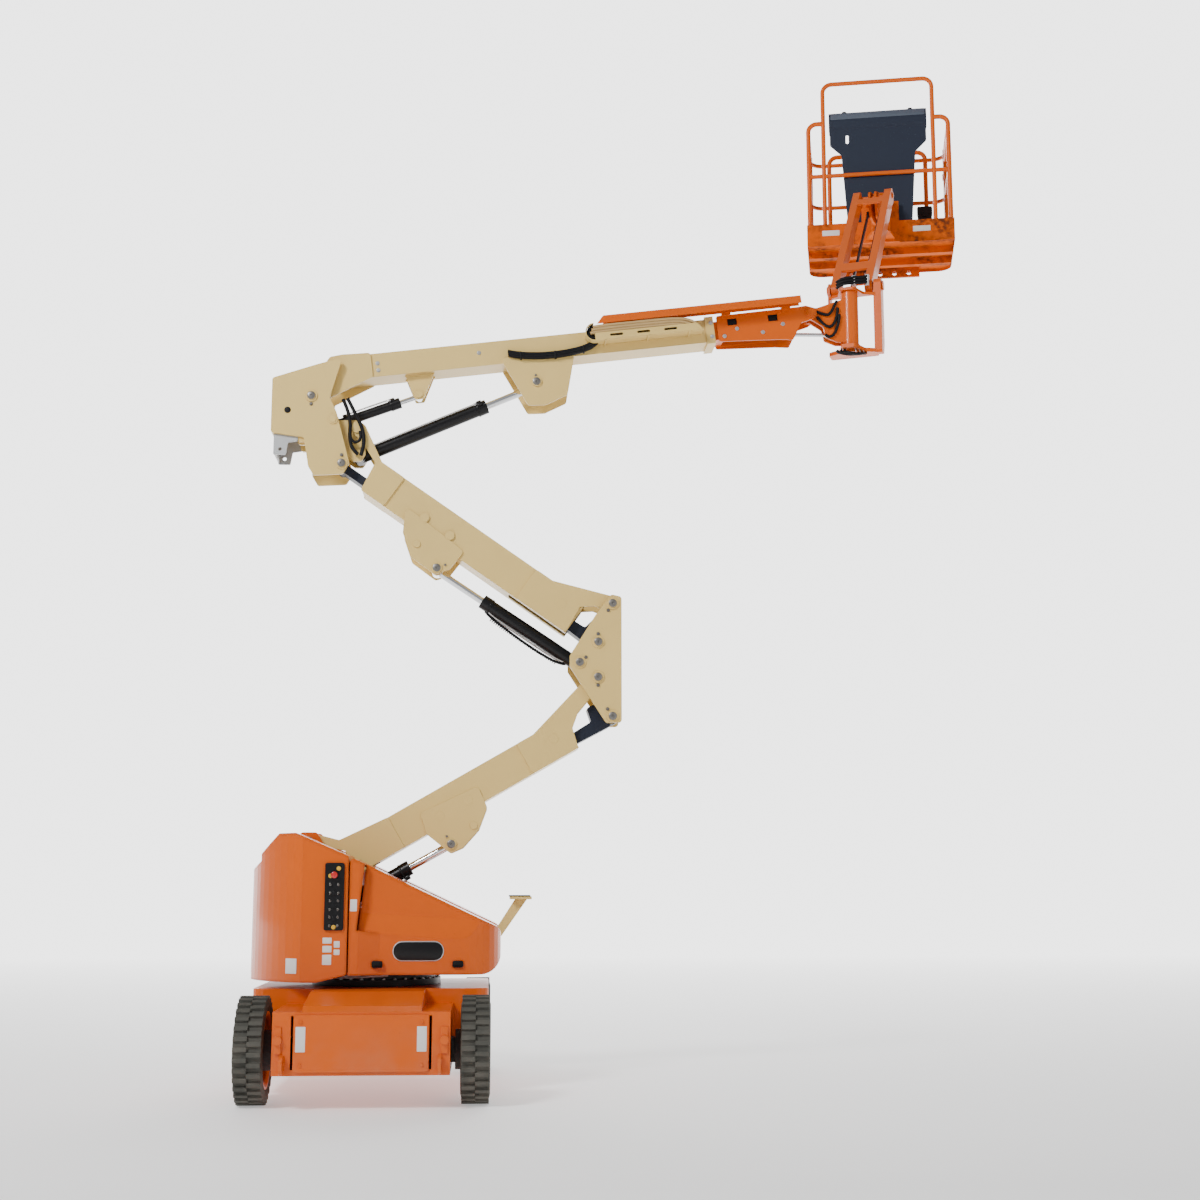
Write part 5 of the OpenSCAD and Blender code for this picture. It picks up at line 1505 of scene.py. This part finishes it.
@dataclass
class TurretTrim:
    """Latches, blank plates and ground controls of the turret.

    Attributes:
        hood_face: distance of the hoods' sides from the middle plane.
        tail_face: distance of the tail covers' sides.
        latch_x: places of the latches along X.
        latch_z: height of the latches.
        hood_turn: where a hood's side turns outwards to meet the tail.
        hood_slope: how steeply it does so.
        tail_radius: radius of the tail's round side.
        badge: place of the oval plates along X and Z.
        labels_near: left, lower, right and upper ends of the blank plates on the near side.
        panel_x: places of the ground panel's two columns.
        panel_z: heights of its rows.
        panel_rings: places of its yellow rings.
        panel_stop: place of its stop button.
    """

    hood_face: float = 0.640
    tail_face: float = 0.700
    latch_x: tuple[float, float] = (0.011, 0.512)
    latch_z: float = 0.801
    hood_turn: float = 0.053
    hood_slope: float = 0.369
    tail_radius: float = 0.822
    badge: tuple[float, float] = (0.294, 0.880)
    labels_near: tuple[tuple[float, float, float, float], ...] = (
        (-0.296, 0.930, -0.240, 0.966), (-0.296, 0.876, -0.240, 0.916), (-0.296, 0.800, -0.240, 0.862),
        (-0.226, 0.905, -0.190, 0.945), (-0.226, 0.860, -0.190, 0.893))
    panel_x: tuple[float, float] = (-0.255, -0.205)
    panel_z: tuple[float, ...] = (1.040, 1.090, 1.140, 1.190, 1.240, 1.290)
    panel_rings: Spots = ((-0.255, 1.345), (-0.205, 1.390), (-0.230, 1.030))
    panel_stop: tuple[float, float] = (-0.230, 1.350)

    def build(self, bench: Bench, rig: Rig) -> None:
        """Dress the turret.

        Args:
            bench: the bench that models the pieces.
            rig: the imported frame.
        """
        for body, side in (("hood_near", -1.0), ("hood_far", 1.0)):
            self.latches(bench, body, side)
            self.oval_plate(bench, body, side)
        self.labels(bench)
        self.side_labels(bench)
        self.controls(bench)
        self.lines(bench)
        self.rest_pad(bench, rig)

    def latches(self, bench: Bench, body: str, side: float) -> None:
        """Model the black latches of a hood, each a paddle in a bezel.

        Args:
            bench: the bench that models the pieces.
            body: the body that carries the pieces.
            side: -1 for the near side, 1 for the far side.
        """
        parts = []
        for x in self.latch_x:
            bezel = bench.sheet("bezel", rounded_box(-0.034, -0.021, 0.034, 0.021, 0.012), 0.006)
            paddle = bench.sheet("paddle", rounded_box(-0.024, -0.010, 0.024, 0.010, 0.007), 0.013)
            out = self.hood_face + 0.010 + max(0.0, self.hood_turn - x) * self.hood_slope
            place = Matrix.Translation((x + 0.030, side * out, self.latch_z))
            turn = Matrix.Rotation(0.0 if side < 0 else math.pi, 4, "Z")
            parts.append(bench.settle(bench.join("latch", [bezel, paddle]), place @ turn))
        bench.hand_over(bench.join("latches_" + body, parts), body, RUBBER)

    def oval_plate(self, bench: Bench, body: str, side: float) -> None:
        """Model a blank oval plate on a hood's side, with a plated rim.

        Args:
            bench: the bench that models the pieces.
            body: the body that carries the pieces.
            side: -1 for the near side, 1 for the far side.
        """
        x, z = self.badge
        turn = Matrix.Translation((x, side * self.hood_face, z))
        turn = turn @ Matrix.Rotation(0.0 if side < 0 else math.pi, 4, "Z")
        rim = bench.sheet("rim", rounded_box(-0.160, -0.062, 0.160, 0.062, 0.060, 10), 0.003, 0.001)
        face = bench.sheet("face", rounded_box(-0.154, -0.056, 0.154, 0.056, 0.054, 10), 0.0045, 0.001)
        bench.hand_over(bench.settle(bench.join("badge_rim_" + body, [rim]), turn), body, STEEL)
        bench.hand_over(bench.settle(bench.join("badge_face_" + body, [face]), turn), body, BLACK)

    def labels(self, bench: Bench) -> None:
        """Model the blank pale plates of the tail cover's near side.

        Args:
            bench: the bench that models the pieces.
        """
        plates = []
        for x0, z0, x1, z1 in self.labels_near:
            plate = bench.sheet("plate", rounded_box(x0, z0, x1, z1, 0.004, 3), 0.0015, 0.0004)
            plates.append(bench.settle(plate, Matrix.Translation((0.0, -self.tail_face, 0.0))))
        bench.hand_over(bench.join("blank_plates_tail", plates), "turret", BLANK)

    def side_labels(self, bench: Bench) -> None:
        """Model the blank plates beside the hood's seam and on the tail's round side.

        Args:
            bench: the bench that models the pieces.
        """
        plate = bench.sheet("plate", rounded_box(-0.132, 1.126, -0.090, 1.200, 0.004, 3), 0.0015, 0.0004)
        plate = bench.settle(plate, Matrix.Translation((0.0, -self.tail_face + 0.012, 0.0)))
        bench.hand_over(bench.join("blank_plate_hood", [plate]), "hood_near", BLANK)
        spot = Vector((-0.490, -math.sqrt(self.tail_radius ** 2 - 0.490 ** 2), 0.792))
        turn = Matrix.Translation(spot) @ Matrix.Rotation(math.atan2(spot.x, -spot.y), 4, "Z")
        plate = bench.sheet("plate", rounded_box(-0.045, -0.046, 0.045, 0.046, 0.004, 3), 0.0018, 0.0004)
        bench.hand_over(bench.settle(bench.join("blank_plate_tail", [plate]), turn), "turret", BLANK)

    def lines(self, bench: Bench) -> None:
        """Model the lines that run round the slew ring under the base plate.

        Args:
            bench: the bench that models the pieces.
        """
        runs = ((0.455, 195.0, 268.0), (0.478, 205.0, 282.0), (0.500, 200.0, 262.0))
        lines = []
        for index, (radius, start, stop) in enumerate(runs):
            path = []
            for step in range(10):
                turn = math.radians(start + (stop - start) * step / 9.0)
                sag = 0.016 * math.sin(math.pi * step / 9.0)
                path.append((radius * math.cos(turn), radius * math.sin(turn), 0.722 - sag + 0.003 * index))
            lines.append(bench.tube("line", path, 0.0085))
        bench.hand_over(bench.join("turret_lines", lines), "turret", BARE)

    def rest_pad(self, bench: Bench, rig: Rig) -> None:
        """Model the dark pad on top of the boom's rest.

        Args:
            bench: the bench that models the pieces.
            rig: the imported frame.
        """
        corner = rig.high("boom_rest")
        pad = bench.box("rest_pad", (corner.x - 0.150, -0.095, corner.z - 0.001),
                        (corner.x - 0.008, 0.095, corner.z + 0.009), 0.003)
        bench.hand_over(pad, "turret", RUBBER)

    def controls(self, bench: Bench) -> None:
        """Model the switches of the ground panel.

        Args:
            bench: the bench that models the pieces.
        """
        face = -self.tail_face - 0.014
        levers, rings = [], []
        for row, z in enumerate(self.panel_z):
            tip = z + (0.008 if row % 2 else -0.008)
            for x in self.panel_x:
                levers.append(bench.rod("boot", (x, face, z), (x, face - 0.010, z), 0.0075, 0.002, 16))
                foot, end = (x, face - 0.008, z), (x, face - 0.030, tip)
                levers.append(bench.rod("lever", foot, end, 0.0035, 0.001, 12))
        bench.hand_over(bench.join("ground_levers", levers), "turret", PIN)
        for x, z in self.panel_rings:
            rings.append(bench.rod("ring", (x, face, z), (x, face - 0.006, z), 0.014, 0.002, 24))
        bench.hand_over(bench.join("ground_rings", rings), "turret", YELLOW)
        x, z = self.panel_stop
        stop = bench.rod("ground_stop", (x, face - 0.022, z), (x, face - 0.040, z), 0.021, 0.006, 32)
        bench.hand_over(stop, "turret", RED)


@dataclass
class ChassisTrim:
    """Bolts and blank plates of the chassis and the wheels.

    Attributes:
        deck: height of the deck.
        ring: radius of the slew ring's bolt circle.
        end_face: distance of the end covers' faces along Y.
        hub: distance of the hubs' ends from the middle plane.
        hub_ring: radius of a hub's bolt circle.
        plate_ends: left and right ends of the blank plates.
    """

    deck: float = 0.650
    ring: float = 0.405
    end_face: float = 1.342
    hub: float = 0.697
    hub_ring: float = 0.042
    plate_ends: Spots = ((-0.378, -0.322), (0.322, 0.378))

    def build(self, bench: Bench, rig: Rig) -> None:
        """Dress the chassis.

        Args:
            bench: the bench that models the pieces.
            rig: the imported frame.
        """
        up = (0.0, 0.0, 1.0)
        places = [facing((self.ring * math.cos(turn), self.ring * math.sin(turn), self.deck + 0.042), up)
                  for turn in (math.tau * step / 36 for step in range(36))]
        bench.hand_over(bench.spread("slew_bolts", bench.bolt(0.009, 0.010), places), "chassis", STEEL)
        plates = []
        for x0, x1 in self.plate_ends:
            plate = bench.sheet("plate", rounded_box(x0, 0.335, x1, 0.478, 0.004, 3), 0.0015, 0.0004)
            plates.append(bench.settle(plate, Matrix.Translation((0.0, -self.end_face, 0.0))))
        bench.hand_over(bench.join("blank_plates_end", plates), "chassis", BLANK)
        for joint, body in (("drive_left_spin", "chassis"), ("drive_right_spin", "chassis"),
                            ("steer_left_spin", "knuckle_left"), ("steer_right_spin", "knuckle_right")):
            self.hub_bolts(bench, rig.pivot(joint), joint, body)

    def hub_bolts(self, bench: Bench, middle: Vector, joint: str, body: str) -> None:
        """Model the ring of bolts on a hub's end.

        Args:
            bench: the bench that models the pieces.
            middle: middle of the hub.
            joint: the joint's name.
            body: the body that carries the pieces.
        """
        side = math.copysign(1.0, middle.x)
        places = []
        for step in range(8):
            turn = math.tau * step / 8
            spot = (side * self.hub, middle.y + self.hub_ring * math.cos(turn),
                    middle.z + self.hub_ring * math.sin(turn))
            places.append(facing(spot, (side, 0.0, 0.0)))
        piece = bench.spread("hub_bolts_" + joint.removesuffix("_spin"), bench.bolt(0.006, 0.006), places)
        bench.hand_over(piece, body, STEEL)


@dataclass
class PlatformTrim:
    """Controls, blank plates and floor grip of the work platform.

    Attributes:
        turn: turn of the platform at rest, in degrees.
        near: distance of the near toe board from the swing axis.
        depth: depth of the platform; not used.
        half: half of its width.
        floor: height of its floor's top above its underside.
        top: height of the console's top above the underside.
        underside: depth of the underside below the turning joint's point.
        row: distance of the console's controls behind the toe board.
        stick_x: places of the sticks.
        stop_x: place of the stop button.
        plate_x: middles of the blank plates.
    """

    turn: float = -12.2
    near: float = 0.170
    depth: float = 0.740
    half: float = 0.5935
    floor: float = 0.030
    top: float = 1.150
    underside: float = 0.045
    row: float = 0.137
    stick_x: tuple[float, float] = (-0.270, 0.270)
    stop_x: float = 0.180
    plate_x: tuple[float, float] = (-0.400, 0.330)

    def build(self, bench: Bench, rig: Rig) -> None:
        """Dress the platform.

        Args:
            bench: the bench that models the pieces.
            rig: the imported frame.
        """
        axis = rig.pivot("platform_turn")
        turn = Matrix.Rotation(math.radians(self.turn), 4, "Z")
        frame = Matrix.Translation((axis.x, axis.y, axis.z - self.underside)) @ turn
        self.plates(bench, frame)
        self.grip(bench, frame)
        self.sticks(bench, frame)
        self.panel(bench, frame)

    def panel(self, bench: Bench, frame: Matrix) -> None:
        """Model the paler plate on the console's slanted front.

        Args:
            bench: the bench that models the pieces.
            frame: frame of the body that carries the pieces.
        """
        lean = math.atan2(0.026, 0.077)
        outline = rounded_box(-0.385, -0.034, 0.385, 0.034, 0.010, 4)
        plate = bench.sheet("console_panel", outline, 0.003, 0.001)
        place = Matrix.Translation((0.0, self.near + 0.0435, 1.1335)) @ Matrix.Rotation(-lean, 4, "X")
        bench.hand_over(bench.settle(plate, frame @ place), "platform", SLATE_PALE)

    def plates(self, bench: Bench, frame: Matrix) -> None:
        """Model the blank plates on the near toe board.

        Args:
            bench: the bench that models the pieces.
            frame: frame of the body that carries the pieces.
        """
        plates = []
        for x in self.plate_x:
            outline = rounded_box(x - 0.070, 0.085, x + 0.070, 0.130, 0.004, 3)
            plate = bench.sheet("plate", outline, 0.0015, 0.0004)
            plates.append(bench.settle(plate, Matrix.Translation((0.0, self.near, 0.0))))
        piece = bench.join("blank_plates_toe", plates)
        bench.hand_over(bench.settle(piece, frame), "platform", BLANK)

    def grip(self, bench: Bench, frame: Matrix) -> None:
        """Model the raised bars of the floor's tread plate.

        Args:
            bench: the bench that models the pieces.
            frame: frame of the body that carries the pieces.
        """
        stud = bench.box("stud", (-0.022, -0.004, 0.0), (0.022, 0.004, 0.003), 0.0015)
        places = []
        for column in range(13):
            for row in range(7):
                x = -self.half + 0.075 + 0.087 * column
                y = self.near + 0.135 + 0.080 * row
                lean = math.radians(45.0 if (column + row) % 2 else -45.0)
                place = Matrix.Translation((x, y, self.floor)) @ Matrix.Rotation(lean, 4, "Z")
                places.append(frame @ place)
        bench.hand_over(bench.spread("floor_grip", stud, places), "platform", ORANGE)

    def sticks(self, bench: Bench, frame: Matrix) -> None:
        """Model the joysticks, switches and stop button on the console.

        Args:
            bench: the bench that models the pieces.
            frame: frame of the body that carries the pieces.
        """
        y, top = self.near + self.row, self.top
        stick = (("boot", -0.008, 0.022, 0.034, 0.010, 32), ("stem", 0.018, 0.040, 0.009, 0.002, 16),
                 ("knob", 0.034, 0.062, 0.020, 0.008, 24))
        sticks, switches = [], []
        for x in self.stick_x:
            for name, low, high, radius, edge, sides in stick:
                sticks.append(bench.rod(name, (x, y, top + low), (x, y, top + high), radius, edge, sides))
        bench.hand_over(bench.settle(bench.join("joysticks", sticks), frame), "platform", RUBBER)
        for step in range(5):
            x = -0.110 + 0.055 * step
            switches.append(bench.rod("nut", (x, y, top - 0.006), (x, y, top + 0.010), 0.010, 0.001, 6))
            foot, end = (x, y, top + 0.008), (x, y + 0.008, top + 0.032)
            switches.append(bench.rod("lever", foot, end, 0.004, 0.001, 12))
        bench.hand_over(bench.settle(bench.join("console_switches", switches), frame), "platform", STEEL)
        low, high = (self.stop_x, y, top - 0.006), (self.stop_x, y, top + 0.030)
        stop = bench.rod("console_stop", low, high, 0.022, 0.007, 32)
        bench.hand_over(bench.settle(stop, frame), "platform", RED)


def main() -> None:
    """Build the scene."""
    logging.basicConfig(level=logging.INFO, format="%(name)s: %(message)s")
    rig = Rig()
    rig.paint()
    Studio().build()
    bench = Bench()
    ChassisTrim().build(bench, rig)
    TurretTrim().build(bench, rig)
    Tower().build(bench, rig)
    BoomTrim().build(bench, rig)
    JibTrim().build(bench, rig)
    PlatformTrim().build(bench, rig)
    rig.write_sizes()


if __name__ == "__main__":
    main()
